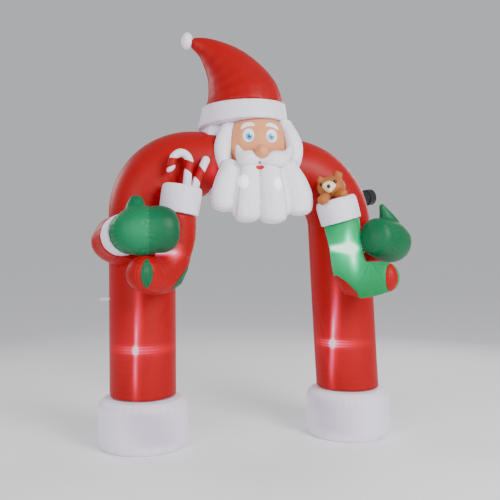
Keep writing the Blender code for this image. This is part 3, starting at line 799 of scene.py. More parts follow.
# Heights up the drum, the solid's radius there, and the radius of a drum that is full
FOOT_HEIGHTS = [0.0, 0.014, 0.045, 0.285, 0.319, 0.341]
FOOT_CUT = [0.285, 0.308, FOOT_RADIUS, FOOT_RADIUS, 0.305, 0.278]
FOOT_FULL = [0.304, FOOT_RADIUS - 0.004, FOOT_RADIUS, FOOT_RADIUS, 0.309, 0.284]
for side, seed in (("left", 1.0), ("right", 2.6)):
    node, leg_x = "foot_" + side, LEG_X[side]
    start, end = Vector((leg_x, LEG_Y, 0.0)), Vector((leg_x, LEG_Y, 0.36))
    draw_tight(node, start, end, FOOT_HEIGHTS, FOOT_CUT, FOOT_FULL)
    gather(node, (leg_x, LEG_Y, 0.306), (0, 0, 1), 18, 0.9, 55, 1.2, seed=seed)
    gather(node, (leg_x, LEG_Y, 0.020), (0, 0, 1), 30, 0.8, 90, 0.4, side=1, seed=seed + 0.7)
    points = points_of(panels[node])
    height = points[:, 2]
    turn = np.arctan2(points[:, 1] - LEG_Y, points[:, 0] - leg_x)
    wall = soft_step(height, 0.02, 0.10) * (1 - soft_step(height, 0.28, 0.34))
    slump = 1.4 * np.sin(2 * turn + seed) + 0.8 * np.sin(3 * turn + 2 * seed + height * 6.0)
    shift_points(node, MM * slump * wall)
print("feet slumped")

# %% [markdown]
# ## Cap, band, hair, beard and moustache
# The band is a ring of white cloth, sewn at its top to the cap and at its bottom to the head. The
# cap is cut from two crescents, so it curls, and the short side of the curl is full of folds. The
# beard is four channels sewn through from front to back. The hair, beard and moustache each have
# a front and a back panel, and their common edge is scalloped by its own puckers.

# %% Draw the white bands tight
draw_tight(
    "cap_band", on_arch(-0.0395, 0.0, 2.5198), on_arch(-0.0531, 0.0, 2.2502),
    [0.0, 0.07, 0.13, 0.19, 0.27], [0.300, 0.314, 0.332, 0.342, 0.342],
    [0.300, 0.311, 0.322, 0.333, 0.345])
for side, top, bottom, radius in (
    ("left", on_arch(-0.540, -0.330, 1.842), on_arch(-0.569, -0.330, 1.652), 0.139),
    ("right", on_arch(0.543, -0.358, 1.770), on_arch(0.589, -0.362, 1.606), 0.148),
):
    draw_tight(
        "stocking_cuff_" + side, top, bottom, [0.0, 0.006, 0.020, 0.045, 0.090, 0.200],
        [radius * share for share in (0.70, 0.84, 0.94, 0.99, 1.0, 0.96)],
        [radius * share for share in (0.88, 0.95, 0.985, 1.0, 0.995, 0.975)])
print("white bands drawn tight")
BAND_TOP, BAND_UP = on_arch(-0.047, 0.0, 2.467), Vector((-0.044, 0.0, 1.0)).normalized()
# The cap's lower rim and the band's upper one meet in this plane, with a hair's gap
for node, sign, reach, gap in (("cap", 1.0, 0.009, 0.6 * MM), ("cap_band", -1.0, 0.007, 0.4 * MM)):
    points = points_of(panels[node])
    height = plane_distance(points, BAND_TOP, BAND_UP)
    drop = np.where(height * sign < reach, height - sign * gap, 0.0)
    set_points(panels[node], points - drop[:, None] * np.array(BAND_UP))
print("cap seated on its band")

# %% Gather the cap and its band
gather("cap", on_arch(-0.047, 0.0, 2.475), (-0.044, 0, 1), 45, 0.7, 60, 0.6, side=1, seed=0.4)
gather("cap_band", on_arch(-0.047, 0.0, 2.458), (-0.044, 0, 1), 26, 0.7, 60, 0.6, seed=1.9)
gather("cap_band", on_arch(-0.045, 0.0, 2.322), (-0.058, 0.068, 1), 26, 0.7, 70, 0.5, seed=3.3)
gather("cap", on_arch(-0.425, 0.0, 2.925), (-0.95, 0, 0.25), 30, 1.6, 22, 1.0, seed=2.2)
curl_centre = on_arch(-0.62, 0.0, 2.42)
points = points_of(panels["cap"])
out, up = points[:, 0] - curl_centre.x, points[:, 2] - curl_centre.z
arc = np.arctan2(up, out)
short_side = 1.0 - soft_step(np.hypot(out, up), 0.33, 0.62)
spread = soft_step(arc, 0.05, 0.30) * (1.0 - soft_step(arc, 1.25, 1.6))
crease = np.sin(arc * 34.0 + 1.5 * np.sin(points[:, 1] * 9.0))
shift_points("cap", 0.9 * MM * crease * short_side * spread)
print("cap gathered")

# %% Gather the beard, moustache and hair
FRONT_TURN = FRONT.to_3x3()
front_back = FRONT_TURN @ Vector((0.0, 1.0, 0.0))
gather("beard", on_front(0.0, -0.355, 1.8), front_back, 18, 2.0, 27, 1.6, seed=0.9)
# Each crease between two channels: x at its top and at the hem
for top_x, hem_x in ((-0.135, -0.182), (-0.006, -0.004), (0.138, 0.190)):
    middle = on_front((top_x + hem_x) / 2, -0.35, 1.79)
    slope = FRONT_TURN @ Vector((0.38, 0.0, hem_x - top_x))
    gather("beard", middle, slope, 15, 0.6, 44, 6.0, seed=top_x * 9)
points = points_of(panels["moustache"])
local = (points - np.array(FRONT.translation)) @ np.array(FRONT_TURN)
# The two halves meet in a notch under the nose
low_side = 1.0 - soft_step(local[:, 2], 2.01, 2.06)
points[:, 2] += 0.030 * np.exp(-np.abs(local[:, 0] + 0.008) / 0.022) * low_side
set_points(panels["moustache"], points)
gather("moustache", on_front(0.0, -0.372, 2.07), front_back, 12, 1.8, 24, 1.0, seed=2.8)
for side, seed in (("left", 1.2), ("right", 3.0)):
    gather("hair_" + side, on_front(0.0, -0.245, 2.2), front_back, 16, 2.0, 30, 1.2, seed=seed)
print("beard, moustache and hair gathered")

# %% [markdown]
# ## Arms and mittens
# The mittens are the loosest bags on the arch. Their cloth is drawn in hard at the cuff, at the
# root of the thumb and across the bent fingers.

# %% Gather the arms
# Middle of the cuff's two rims, and how far the folds run out over the mitten in mm
CUFF_LINES = {
    "left": (on_arch(-0.962, -0.298, 1.498), on_arch(-0.921, -0.432, 1.512), 88),
    "right": (on_arch(0.972, -0.260, 1.460), on_arch(0.966, -0.335, 1.462), 46),
}
for side, (start, end, reach_mm) in CUFF_LINES.items():
    ahead = end - start
    gather("mitten_" + side, end, ahead, reach_mm, 3.8, 24, 1.5, side=1, seed=1.1)
    gather("arm_cuff_" + side, end - ahead * 0.04, ahead, 14, 1.2, 26, 1.6, seed=2.3)
    gather("sleeve_" + side, start, ahead, 30, 2.4, 34, 1.0, seed=0.3)
gather("mitten_left", *FINGER_SEAM, 22, 1.5, 34, 2.4, seed=0.7)
# The bent fingers get painted shade: their fold value is lowered past the seam
past_seam = plane_distance(points_of(panels["mitten_left"]), *FINGER_SEAM)
folds["mitten_left"] -= 1.3 * MM * soft_step(past_seam, 0.0, 0.012)


def low_edge(points):
    """The underside of the left mitten, where its two panels are sewn together."""
    return 1.0 - soft_step(points[:, 2], 1.40, 1.47)


gather(
    "mitten_left", on_arch(0.0, -0.500, 1.53), (0, 1, 0), 16, 2.6, 24, 1.5, seed=2.9,
    where=low_edge)
FIST_SEAM = (on_arch(0.905, -0.586, 1.500), Vector((-0.42, -0.91, 0.06)))
gather("mitten_right", *FIST_SEAM, 24, 1.3, 30, 1.6, seed=1.7)
thumb_tip = np.array(on_arch(0.872, -0.440, 1.700))
from_tip = np.linalg.norm(points_of(panels["mitten_right"]) - thumb_tip, axis=1)
shift_points("mitten_right", 7.0 * MM * np.exp(-(from_tip / 0.035) ** 2), shade=0.0)
print("arms gathered")

# %% [markdown]
# ## Stockings
# A stocking is two flat side panels with a strip between them. Air makes the strip bulge and the
# side panels crown, and the line of piping between them is what draws its outline. So the front
# of each stocking is pressed a little flat, and the cloth is gathered along the edge of that panel.

# %% Flatten and gather the stockings
# The front of each stocking: its middle, its normal, and how much of its bulge stays
STOCKING_FRONTS = {
    "left": (on_arch(-0.566, -0.330, 1.50), Vector((0.608, -0.794, 0.0)), 0.80),
    "right": (on_arch(0.604, -0.364, 1.50), Vector((-0.728, -0.686, 0.0)), 0.72),
}
# From the middle of a stocking to the seam round its front
FRONT_OFFSET = 0.034
front_seams = {}
for side, (middle, normal, keep) in STOCKING_FRONTS.items():
    seam = middle + normal * FRONT_OFFSET
    front_seams[side] = (seam, normal)
    for node in ("stocking_" + side, "toe_panel_" + side, "heel_panel_" + side):
        points = points_of(panels[node])
        beyond = np.maximum(plane_distance(points, seam, normal), 0.0)
        flatter = beyond * (1.0 - keep) * soft_step(beyond, 0.0, 0.05)
        set_points(panels[node], points - np.array(normal) * flatter[:, None])
    gather("stocking_" + side, seam, normal, 18, 1.5, 26, 1.2, seed=2.0)
print("stockings flattened")


# %% Crease the stockings
def instep(points):
    """The bend between leg and foot, where the cloth is short of room."""
    middle = np.array(on_arch(0.700, -0.520, 1.335))
    return np.exp(-(np.linalg.norm(points - middle, axis=1) / 0.10) ** 2)


def creases(node, start, facing, count, reach_mm, depth_mm, seed):
    """Sharp creases that run out from one point, where a bag is pinched or tacked."""
    points = points_of(panels[node])
    reach, turn = round_axis(points, start, facing)
    ridge = 0.5 + 0.5 * np.cos(count * turn + seed + 0.6 * np.sin(3 * turn + seed))
    size = 0.6 + 0.4 * np.sin(2 * turn + 2.1 * seed)
    near = soft_step(reach, 0.004, 0.014) * np.exp(-(reach / (reach_mm * MM)) ** 2)
    behind = -plane_distance(points, start, facing)
    same_side = np.exp(-(np.maximum(0.0, behind - 0.02) / 0.04) ** 2)
    shift_points(node, -depth_mm * MM * ridge ** 4 * size * near * same_side)


gather(
    "stocking_right", on_arch(0.700, -0.460, 1.390), (0.45, -0.40, 0.80), 60, 2.4, 60, 0.0,
    seed=1.5, where=instep)
# After the point and the way it faces come the number of creases, their reach and depth in mm
creases("stocking_right", on_arch(0.728, -0.560, 1.335), (-0.6, -0.6, 0.5), 15, 80, 5.5, 0.4)
creases("mitten_right", on_arch(0.722, -0.470, 1.410), (-0.4, -0.8, -0.3), 13, 70, 4.0, 1.9)
creases("mitten_left", on_arch(-0.905, -0.565, 1.618), (-0.5, -0.8, 0.2), 9, 46, 2.0, 2.6)
for side, point, normal in (
    ("left", on_arch(-0.5685, -0.330, 1.655), (-0.151, 0.0, -0.988)),
    ("right", on_arch(0.588, -0.362, 1.610), (0.270, -0.024, -0.963)),
):
    gather("stocking_" + side, point, normal, 20, 1.6, 30, 0.5, side=1, seed=0.8)
    gather("stocking_cuff_" + side, point, normal, 14, 0.7, 40, 0.6, seed=2.6)
    rim = point - Vector(normal) * 0.150
    gather("stocking_cuff_" + side, rim, normal, 16, 0.9, 44, 0.6, seed=4.0)


def inside_panel(points):
    """The middle of the left toe panel, away from its own seam."""
    nearest = [trees["stocking_left"].find_nearest(Vector(point), 0.03) for point in points]
    return soft_step(np.array([found[3] or 0.0 for found in nearest]), 0.003, 0.012)


gather(
    "toe_panel_left", on_arch(-0.831, -0.548, 1.262), (-0.60, -0.80, 0.0), 24, 2.4, 16, 0.0,
    seed=1.1, where=inside_panel)
print("stockings gathered")

# %% [markdown]
# ## The bear's ears
# The bear is sewn from the same cloth at a tenth of the size. One ear is boxy and the other comes
# to a point, because each is turned out through a narrow seam. The muzzle tapers to the chin.

# %% Shape the bear's ears and muzzle
BOXINESS = 5
points = points_of(panels["bear_head"])
# Each ear: middle, way up, size, taper to its tip, stretch of its tip
for place, up, size, taper, stretch in (
    (on_arch(0.568, -0.349, 1.925), Vector((0.10, 0.0, 1.0)), 0.036, 0.0, 0.022),
    (on_arch(0.430, -0.366, 1.900), Vector((-0.42, 0.0, 1.0)), 0.030, 0.75, 0.012),
):
    up = np.array(up.normalized())
    across = np.array((up[2], 0.0, -up[0]))
    rel = points - np.array(place)
    high, wide = rel @ up, rel @ across
    reach = np.hypot(high, wide)
    ear = soft_step(high, -0.020, 0.012) * (1.0 - soft_step(reach, size * 1.5, size * 2.2))
    share = np.clip(high / size, 0.0, 1.0)
    grow = np.zeros(len(points))
    if taper == 0.0:
        angle = np.arctan2(high, wide)
        rounded = np.abs(np.cos(angle)) ** BOXINESS + np.abs(np.sin(angle)) ** BOXINESS
        grow = (1.0 / rounded ** (1 / BOXINESS) - 1.0) * 0.9
    sideways = across * (wide * (grow - taper * share))[:, None]
    upwards = up * (high * grow + stretch * share)[:, None]
    points += ear[:, None] * (sideways + upwards)
set_points(panels["bear_head"], points)
points = points_of(panels["bear_muzzle"])
to_chin = np.clip((on_arch(0, 0, 1.852).z - points[:, 2]) / 0.050, 0.0, 1.0)
middle_x = on_arch(0.470, 0, 0).x
points[:, 0] += (points[:, 0] - middle_x) * (0.16 - 0.62 * to_chin)
set_points(panels["bear_muzzle"], points)
print("bear shaped")

# %% [markdown]
# ## Handing the folds to the cloth
# The cloth's colour reads one number at each point. It is 0.5 on the level, and 9 mm of fold take
# it from 0, in the deepest folds, to 1. Below 0.5 the colour carries painted shade, above it
# painted light.

# %% Write the folds and keep the pieces apart
FOLD_RANGE = 9.0 * MM


def mark_folds(piece, values):
    record = piece.data.attributes.new("fold", "FLOAT", "POINT")
    record.data.foreach_set("value", values)


put_back = 0
for node, piece in panels.items():
    put_back += stay_clear(node)
    mark_folds(piece, np.clip(0.5 + folds[node] / FOLD_RANGE, 0.0, 1.0))
    piece.data.shade_smooth()
print("put", put_back, "points back out of their neighbours")

# %% [markdown]
# ## Piping on the seams
# Where two panels are sewn from the inside, the turned edges push the cloth up in a thin line that
# the lamps light from behind. It is what draws the outline of each panel. The line is found by
# cutting the finished surface with the seam's plane, so it lies on the cloth wherever that went,
# and a thin round strip is laid along it.


# %% Sweep a round strip along a path
def mesh_from(name, shape):
    """Turn what was built into a mesh."""
    mesh = bpy.data.meshes.new(name)
    shape.to_mesh(mesh)
    shape.free()
    return mesh


def swept_mesh(name, places, radii, sides, closed=False, lean=None):
    """A round strip along a path, with one radius for each place. lean slants its rings."""
    shape = bmesh.new()
    rings = []
    count = len(places)
    across = None
    for index, place in enumerate(places):
        after = places[(index + 1) % count] if closed else places[min(index + 1, count - 1)]
        before = places[index - 1] if closed else places[max(index - 1, 0)]
        ahead = (after - before).normalized()
        across = ahead.orthogonal() if across is None else across - ahead * across.dot(ahead)
        across.normalize()
        other = ahead.cross(across)
        ring = []
        for step in range(sides):
            angle = 2 * math.pi * step / sides
            spoke = across * math.cos(angle) + other * math.sin(angle)
            slant = ahead * spoke.dot(lean) if lean else Vector()
            ring.append(shape.verts.new(place + (spoke + slant) * radii[index]))
        rings.append(ring)
    pairs = list(zip(rings, rings[1:]))
    if closed:
        # The last ring may have turned against the first, so it joins at the nearest corner
        offset = min(range(sides), key=lambda k: (rings[-1][k].co - rings[0][0].co).length)
        pairs.append((rings[-1][offset:] + rings[-1][:offset], rings[0]))
    for first, second in pairs:
        for step in range(sides):
            following = (step + 1) % sides
            shape.faces.new((first[step], first[following], second[following], second[step]))
    if not closed:
        shape.faces.new(list(reversed(rings[0])))
        shape.faces.new(rings[-1])
    bmesh.ops.recalc_face_normals(shape, faces=shape.faces)
    return mesh_from(name, shape)


def joined_mesh(name, strips):
    """Several strips as one mesh."""
    shape = bmesh.new()
    for strip in strips:
        shape.from_mesh(strip)
        bpy.data.meshes.remove(strip)
    return mesh_from(name, shape)


# %% Turn a cut through the cloth into a path
def chains_of(edges):
    """Sort loose edges into paths: a list of (points, closed)."""
    links = {}
    for edge in edges:
        first, second = edge.verts
        links.setdefault(first, []).append(second)
        links.setdefault(second, []).append(first)
    unused = set(links)
    chains = []
    while unused:
        ends = [vert for vert in unused if len(links[vert]) == 1]
        start = min(ends or unused, key=lambda vert: tuple(round(v, 5) for v in vert.co))
        path, here = [start], start
        unused.discard(start)
        while True:
            ways = [vert for vert in links[here] if vert in unused]
            if not ways:
                break
            here = ways[0]
            unused.discard(here)
            path.append(here)
        closed = len(path) > 2 and path[0] in links[here]
        chains.append(([vert.co.copy() for vert in path], closed))
    return chains


def evened(places, closed, spacing):
    """Average a path over its neighbours and give it even steps."""
    for _ in range(3):
        soft = list(places)
        for index in range(len(places)):
            if closed or 0 < index < len(places) - 1:
                after = places[(index + 1) % len(places)]
                soft[index] = (places[index - 1] + places[index] * 2 + after) / 4
        places = soft
    path = places + [places[0]] if closed else places
    lengths = [0.0]
    for first, second in zip(path, path[1:]):
        lengths.append(lengths[-1] + (second - first).length)
    steps = max(3, round(lengths[-1] / spacing))
    even, index = [], 0
    for step in range(steps if closed else steps + 1):
        wanted = lengths[-1] * step / steps
        while index < len(lengths) - 2 and lengths[index + 1] < wanted:
            index += 1
        stretch = max(lengths[index + 1] - lengths[index], 1e-9)
        even.append(path[index].lerp(path[index + 1], (wanted - lengths[index]) / stretch))
    return even


# %% Pipe the seams
dye_of = {node: dye for node, _, _, dye in PANELS}
PIPING_STEP = 10.0 * MM
# A turned seam stands up and the lamps light it from behind, so it gets the painted light of a
# fold's back
PIPING_SHADE = 0.72


def sewn_line(name, node, point, normal, radius_mm, keep=None):
    """Lay piping where a plane cuts a cloth piece. keep says which places have any."""
    shape = bmesh.new()
    shape.from_mesh(panels[node].data)
    cut = bmesh.ops.bisect_plane(
        shape, geom=shape.verts[:] + shape.edges[:] + shape.faces[:],
        plane_co=point, plane_no=normal)
    edges = [item for item in cut["geom_cut"] if isinstance(item, bmesh.types.BMEdge)]
    if keep:
        edges = [edge for edge in edges if all(keep(vert.co) for vert in edge.verts)]
    strips = []
    for places, closed in chains_of(edges):
        if len(places) > 8:
            path = evened(places, closed, PIPING_STEP)
            strips.append(swept_mesh(name, path, [radius_mm * MM] * len(path), 6, closed))
    shape.free()
    mesh = joined_mesh(name, strips)
    piece = link(bpy.data.objects.new(name, mesh))
    mark_folds(piece, np.full(len(mesh.vertices), PIPING_SHADE))
    finish_piece(piece, cloth[dye_of[node]])
    print(name, "has", len(strips), "strips")


for side, seam in front_seams.items():
    sewn_line("stocking_piping_" + side, "stocking_" + side, *seam, 2.6)
for side, leg_x in LEG_X.items():
    foot = "foot_" + side
    sewn_line("leg_piping_" + side, "arch_tube_" + side, on_arch(0, 0, 0), (0, 1, 0), 2.0)
    sewn_line("foot_piping_" + side, foot, (leg_x, LEG_Y, 0.306), (0, 0, 1), 2.0)
    sewn_line(
        "foot_side_piping_" + side, foot, (leg_x, LEG_Y, 0.1), (1, 0, 0), 1.6,
        lambda place: place.y > 0.2 and 0.01 < place.z < 0.31)
sewn_line(
    "cap_piping", "cap", on_arch(0, 0.005, 0), (0, 1, 0), 1.8, lambda place: place.z > 2.47)
sewn_line("mitten_piping_left", "mitten_left", on_arch(0, -0.500, 0), (0.12, 1, 0), 1.8)
sewn_line(
    "mitten_piping_right", "mitten_right", *FIST_SEAM, 1.3, lambda place: place.z < 1.61)
sewn_line(
    "beard_piping", "beard", on_front(0, -0.340, 0), front_back, 1.8,
    lambda place: place.z < 1.98)

# %% [markdown]
# ## Tacking stitches
# The right fist only leans on its stocking, so three thick stitches hold the two together below
# the place where they touch. Each runs between the nearest places on the two cloths.

# %% Tack the hand to the stocking
surface_trees = {}


def surface_of(node):
    """The finished cloth of a node as a tree, made once."""
    if node not in surface_trees:
        surface_trees[node] = tree_of(panels[node].data)
    return surface_trees[node]


TACK_DEPTH = 1.0 * MM
TACK_RADIUS = 2.2 * MM
tacks = []
for where in ((0.716, -0.452, 1.436), (0.726, -0.455, 1.416), (0.736, -0.455, 1.397)):
    place, normal, _, _ = surface_of("mitten_right").find_nearest(on_arch(*where))
    start = place - normal * TACK_DEPTH
    place, normal, _, _ = surface_of("stocking_right").find_nearest(start)
    end = place - normal * TACK_DEPTH
    path = [start.lerp(end, step / 6) for step in range(7)]
    tacks.append(swept_mesh("tack", path, [TACK_RADIUS] * 7, 8))
    print("tack spans", round((end - start).length / MM, 1), "mm")
piece = link(bpy.data.objects.new("fist_tacks", joined_mesh("fist_tacks", tacks)))
# The tacks get the painted light of a fold's back
mark_folds(piece, np.full(len(piece.data.vertices), 0.9))
finish_piece(piece, cloth["bright_green"])

# %% [markdown]
# ## Canes
# Each cane is a narrow tube of white and red pieces sewn end to end, so it is pinched at every
# join. Both stand in the left stocking. A path with a radius at each step gives the tube, and the
# distance along the path gives each face its colour.

# %% Draw the canes
# Path, then the places along it where the colour changes, in metres from the foot of the cane
CANES = {
    "cane_hooked": {
        "path": [
            (-0.515, -0.314, 1.780), (-0.503, -0.312, 1.925), (-0.493, -0.312, 2.003),
            (-0.512, -0.312, 2.052), (-0.556, -0.312, 2.070), (-0.598, -0.312, 2.040),
            (-0.616, -0.312, 1.987), (-0.620, -0.312, 1.938)],
        "joins": [0.160, 0.235, 0.385, 0.445],
        "rounding": 0.020,
    },
    "cane_turned": {
        "path": [
            (-0.470, -0.290, 1.760), (-0.440, -0.288, 1.880), (-0.406, -0.286, 1.960),
            (-0.378, -0.280, 2.020), (-0.368, -0.256, 2.034)],
        "joins": [0.135, 0.215],
        "rounding": 0.008,
    },
}


def rounded_path(places, steps):
    """A curve through places, in short steps."""
    curve = []
    for index in range(len(places) - 1):
        before, first = places[max(index - 1, 0)], places[index]
        second, after = places[index + 1], places[min(index + 2, len(places) - 1)]
        bend = before * 2 - first * 5 + second * 4 - after
        twist = first * 3 - before - second * 3 + after
        for step in range(steps):
            t = step / steps
            curve.append((first * 2 + (second - before) * t + bend * t ** 2 + twist * t ** 3) / 2)
    return curve + [places[-1]]


print("drew", len(CANES), "canes")

# %% Sew the canes
CANE_RADIUS = 0.0285
# The joins are cut on the slant, so each ring of points leans
CANE_LEAN = Vector((-0.55, 0.0, 0.0))
CANE_SIDES = 24
PINCH_REACH = 6.0 * MM
for node, cane in CANES.items():
    path = evened(rounded_path([on_arch(*place) for place in cane["path"]], 8), False, 0.004)
    step_length = (path[1] - path[0]).length
    total = step_length * (len(path) - 1)
    radii = []
    for index in range(len(path)):
        along = index * step_length
        pinch = sum(math.exp(-((along - join) / PINCH_REACH) ** 2) for join in cane["joins"])
        to_end = min(along, total - along)
        round_off = math.sqrt(max(0.04, 1.0 - max(0.0, 1.0 - to_end / cane["rounding"]) ** 2))
        radii.append(CANE_RADIUS * (1.0 - 0.10 * pinch) * round_off)
    mesh = swept_mesh(node + "_cloth", path, radii, CANE_SIDES, lean=CANE_LEAN)
    piece = link(bpy.data.objects.new(node + "_cloth", mesh))
    finish_piece(piece, cloth["lilac_white"], node)
    mesh.materials.append(cloth["red"])
    for face in mesh.polygons:
        along = (face.index // CANE_SIDES) * step_length
        if face.index < CANE_SIDES * (len(path) - 1):
            face.material_index = sum(along > join for join in cane["joins"]) % 2
    mark_folds(piece, np.full(len(mesh.vertices), 0.5))
    panels[node] = piece
    stay_clear(node)
    print(node, "is", round(total, 3), "m long")

# %% [markdown]
# ## The face
# The face panel is plain skin-coloured cloth. Eyes, brows and mouth are flat cuts of printed film,
# sewn on, so they follow its bulge. Each cut is drawn as an outline in the plane of the face, and
# filled with rings of points. Each point is then pushed back until it meets the cloth.


# %% Lay flat cuts of film on the cloth
FILM_THICKNESS = 1.2 * MM
CUT_RINGS = 9
# In front of everything on the head, so that a push back meets the cloth's front first
IN_FRONT = -0.80


def lay_on(start, push, targets, lift_mm):
    """The first place where a push from the start meets a target, lifted a little."""
    hits = []
    for node in targets:
        place, _, _, distance = surface_of(node).ray_cast(start, push)
        if place is not None:
            hits.append((distance, place))
    return min(hits, key=lambda hit: hit[0])[1] - push * lift_mm * MM


def cut_out(name, outline, targets, lift_mm, material):
    """A flat cut of film on cloth. The outline is a list of (x, z) in the plane of the face."""
    middle_x = sum(x for x, _ in outline) / len(outline)
    middle_z = sum(z for _, z in outline) / len(outline)
    shape = bmesh.new()
    rings = []
    for ring in range(1, CUT_RINGS + 1):
        share = ring / CUT_RINGS
        # The rim is sewn down, so it lies lower than the middle
        lift = lift_mm * (1.0 - 0.7 * share ** 6)
        row = []
        for x, z in outline:
            start = on_front(
                middle_x + (x - middle_x) * share, IN_FRONT, middle_z + (z - middle_z) * share)
            row.append(shape.verts.new(lay_on(start, front_back, targets, lift)))
        rings.append(row)
    start = on_front(middle_x, IN_FRONT, middle_z)
    centre = shape.verts.new(lay_on(start, front_back, targets, lift_mm))
    size = len(outline)
    for step in range(size):
        shape.faces.new((centre, rings[0][step], rings[0][(step + 1) % size]))
    for first, second in zip(rings, rings[1:]):
        for step in range(size):
            following = (step + 1) % size
            shape.faces.new((first[step], second[step], second[following], first[following]))
    bmesh.ops.recalc_face_normals(shape, faces=shape.faces)
    shape.faces.ensure_lookup_table()
    if shape.faces[0].normal.dot(front_back) > 0:
        bmesh.ops.reverse_faces(shape, faces=shape.faces)
    piece = link(bpy.data.objects.new(name, mesh_from(name, shape)))
    thick = piece.modifiers.new("film", "SOLIDIFY")
    thick.thickness = FILM_THICKNESS
    thick.offset = -1.0
    bake(piece)
    finish_piece(piece, material)


# %% Draw outlines for the film
def oval(x, z, half_width, half_height, squareness=2.0, count=36):
    """An oval outline. A squareness over 2 fills its corners."""
    outline = []
    for step in range(count):
        angle = 2 * math.pi * step / count
        across, up = [
            math.copysign(abs(value) ** (2 / squareness), value)
            for value in (math.cos(angle), math.sin(angle))]
        outline.append((x + half_width * across, z + half_height * up))
    return outline


def arched(x, z, half_length, half_thickness, rise, lean):
    """A brow: a band with round ends that arches upwards by rise and leans by degrees."""
    outline = []
    turn = math.radians(lean)
    for across, up in oval(0, 0, half_length, half_thickness, 2.6, 44):
        up += rise * (1.0 - (across / half_length) ** 2)
        outline.append((
            x + across * math.cos(turn) - up * math.sin(turn),
            z + across * math.sin(turn) + up * math.cos(turn)))
    return outline


def lips(x, z, half_width, half_height):
    """A small mouth, with a dip in the middle of its upper edge."""
    outline = []
    for step in range(40):
        angle = 2 * math.pi * step / 40
        dip = 0.005 * math.exp(-(math.cos(angle) / 0.30) ** 2) if math.sin(angle) > 0 else 0.0
        outline.append((x + half_width * math.cos(angle), z + half_height * math.sin(angle) - dip))
    return outline


# %% Sew on the eyes, brows and mouth
# The cuts of an eye from the back: how far each sits towards the nose and to the right, its
# height, half width and half height in metres, its lift in mm, and its film
EYE_CUTS = (
    ("eye", 0.000, 0.000, 2.206, 0.040, 0.049, 1.5, "white"),
    ("iris", 0.006, 0.000, 2.197, 0.026, 0.028, 2.9, "blue"),
    ("pupil", 0.006, 0.000, 2.196, 0.012, 0.013, 4.3, "dark_blue"),
    ("glint", 0.006, 0.009, 2.211, 0.008, 0.009, 5.2, "white"),
)
for side, sign, eye_x in (("left", -1.0, -0.080), ("right", 1.0, 0.086)):
    for name, inward, right, z, half_width, half_height, lift_mm, colour in EYE_CUTS:
        x = eye_x - sign * inward + right
        outline = oval(x, z, half_width, half_height)
        cut_out(name + "_" + side, outline, ["face"], lift_mm, film[colour])
    brow = arched(eye_x + sign * 0.004, 2.270, 0.050, 0.017, 0.016, -sign * 14.0)
    cut_out("brow_" + side, brow, ["face"], 3.0, film["white"])
mouth = lips(-0.006, 1.975, 0.030, 0.017)
cut_out("mouth", mouth, ["beard", "moustache", "face"], 2.2, film["red"])
print("face sewn on")

# %% [markdown]
# ## The bear's eyes and nose
# These are round pads of black film on the soft head. They are domed, so they are made as balls
# with a flatter back that sit on the cloth.


# %% Give the bear its eyes and nose
def pad(name, centre, radii, material):
    """A ball whose back is half as deep as its front."""
    shape = bmesh.new()
    bmesh.ops.create_uvsphere(shape, u_segments=24, v_segments=16, radius=1.0)
    for vert in shape.verts:
        depth = vert.co.y * (1.0 if vert.co.y < 0 else 0.5)
        vert.co = Vector((vert.co.x * radii[0], depth * radii[1], vert.co.z * radii[2])) + centre
    piece = link(bpy.data.objects.new(name, mesh_from(name, shape)))
    finish_piece(piece, material)


for name, x, z, size, node in (
    ("bear_eye_left", 0.425, 1.863, 0.012, "bear_head"),
    ("bear_eye_right", 0.512, 1.882, 0.013, "bear_head"),
    ("bear_nose", 0.456, 1.846, 0.013, "bear_muzzle"),
):
    seat = lay_on(on_arch(x, -0.9, z), Vector((0, 1, 0)), [node], 0.0)
    pad(name, seat, (size, size * 0.7, size * 1.1), film["black"])
print("bear looks out")

# %% [markdown]
# ## Blower and tether tab
# The blower's housing is a moulded drum on the back of the right shoulder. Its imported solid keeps
# its shape, and gets the grille that keeps fingers out of the fan: rings of coated wire on spokes.
# The tab is a plain loop of webbing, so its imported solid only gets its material.

# %% Fit the blower's grille and the tab
for node, material in (("fan_housing", abs_plastic), ("tether_tab", webbing)):
    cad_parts[node].data.materials.clear()
    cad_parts[node].data.materials.append(material)
fan_start, fan_end = on_arch(0.800, 0.060, 1.790), on_arch(1.036, 0.167, 1.832)
fan_out = (fan_end - fan_start).normalized()
fan_across = fan_out.orthogonal().normalized()
fan_up = fan_out.cross(fan_across)


def on_fan(angle, radius, lift_mm):
    """A place on the open end of the housing."""
    spoke = fan_across * math.cos(angle) + fan_up * math.sin(angle)
    return fan_end + fan_out * lift_mm * MM + spoke * radius


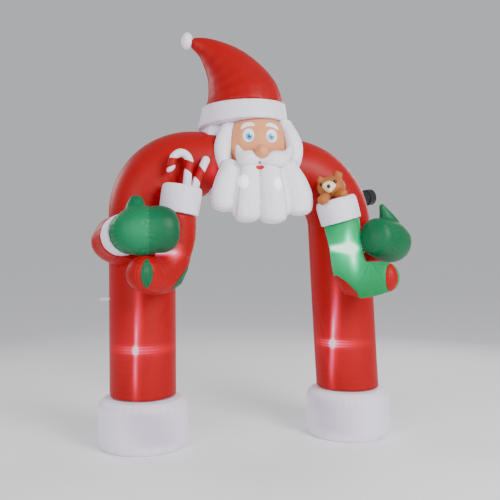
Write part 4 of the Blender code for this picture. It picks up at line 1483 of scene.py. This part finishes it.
wires = []
for radius in (0.014, 0.026, 0.038, 0.050):
    ring = [on_fan(2 * math.pi * step / 40, radius, 3.0) for step in range(40)]
    wires.append(swept_mesh("ring", ring, [1.3 * MM] * 40, 6, True))
for step in range(6):
    bar = [on_fan(math.pi * step / 3, radius, 2.0) for radius in (0.006, 0.030, 0.056)]
    wires.append(swept_mesh("bar", bar, [1.6 * MM] * 3, 6))
grille = link(bpy.data.objects.new("fan_grille", joined_mesh("fan_grille", wires)))
finish_piece(grille, steel_wire)
print("blower fitted with", len(wires), "wires")

# %% [markdown]
# ## Floor and light
# The arch stands on a plain pale floor. Large soft lamps stand in for a studio: a wide key from
# the upper right, a fill from the left, and two at the back that draw the edges.


# %% Build the studio
disc = bmesh.new()
bmesh.ops.create_circle(disc, cap_ends=True, segments=96, radius=60.0)
floor = link(bpy.data.objects.new("floor", mesh_from("floor", disc)))
floor.location = (0.0, 0.0, -1.0 * MM)
floor_paint, _, paint_shader = new_material("matt_floor_paint")
set_sockets(paint_shader, {
    "Base Color": linear("#F1F1F3"), "Roughness": 0.90,
    "Emission Color": linear("#F1F1F3"), "Emission Strength": 0.07})
floor.data.materials.append(floor_paint)
floor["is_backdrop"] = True

# Name, place, height that it points at, width in metres, watts
for name, place, aim, width, power in (
    ("key", (2.6, -5.0, 3.8), 1.4, 3.0, 400.0),
    ("fill", (-4.0, -4.4, 2.6), 1.3, 3.2, 130.0),
    ("back_left", (-3.8, 3.6, 3.4), 1.6, 2.2, 70.0),
    ("back_right", (3.8, 3.8, 3.2), 1.6, 2.2, 70.0),
):
    lamp = link(bpy.data.objects.new(name, bpy.data.lights.new(name, "AREA")))
    lamp.data.shape, lamp.data.size, lamp.data.energy = "DISK", width, power
    lamp.location = place
    facing = Vector((0, 0, aim)) - Vector(place)
    lamp.rotation_euler = facing.to_track_quat("-Z", "Y").to_euler()
world = bpy.data.worlds.new("studio")
bpy.context.scene.world = world
world.use_nodes = True
set_sockets(
    world.node_tree.nodes["Background"], {"Color": linear("#E6E7EA"), "Strength": 0.66})
print("studio lit by", len(bpy.data.lights), "lamps")

# %% Write the sizes and finish
low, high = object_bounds()
print("visual box", [round(v, 3) for v in low], [round(v, 3) for v in high])
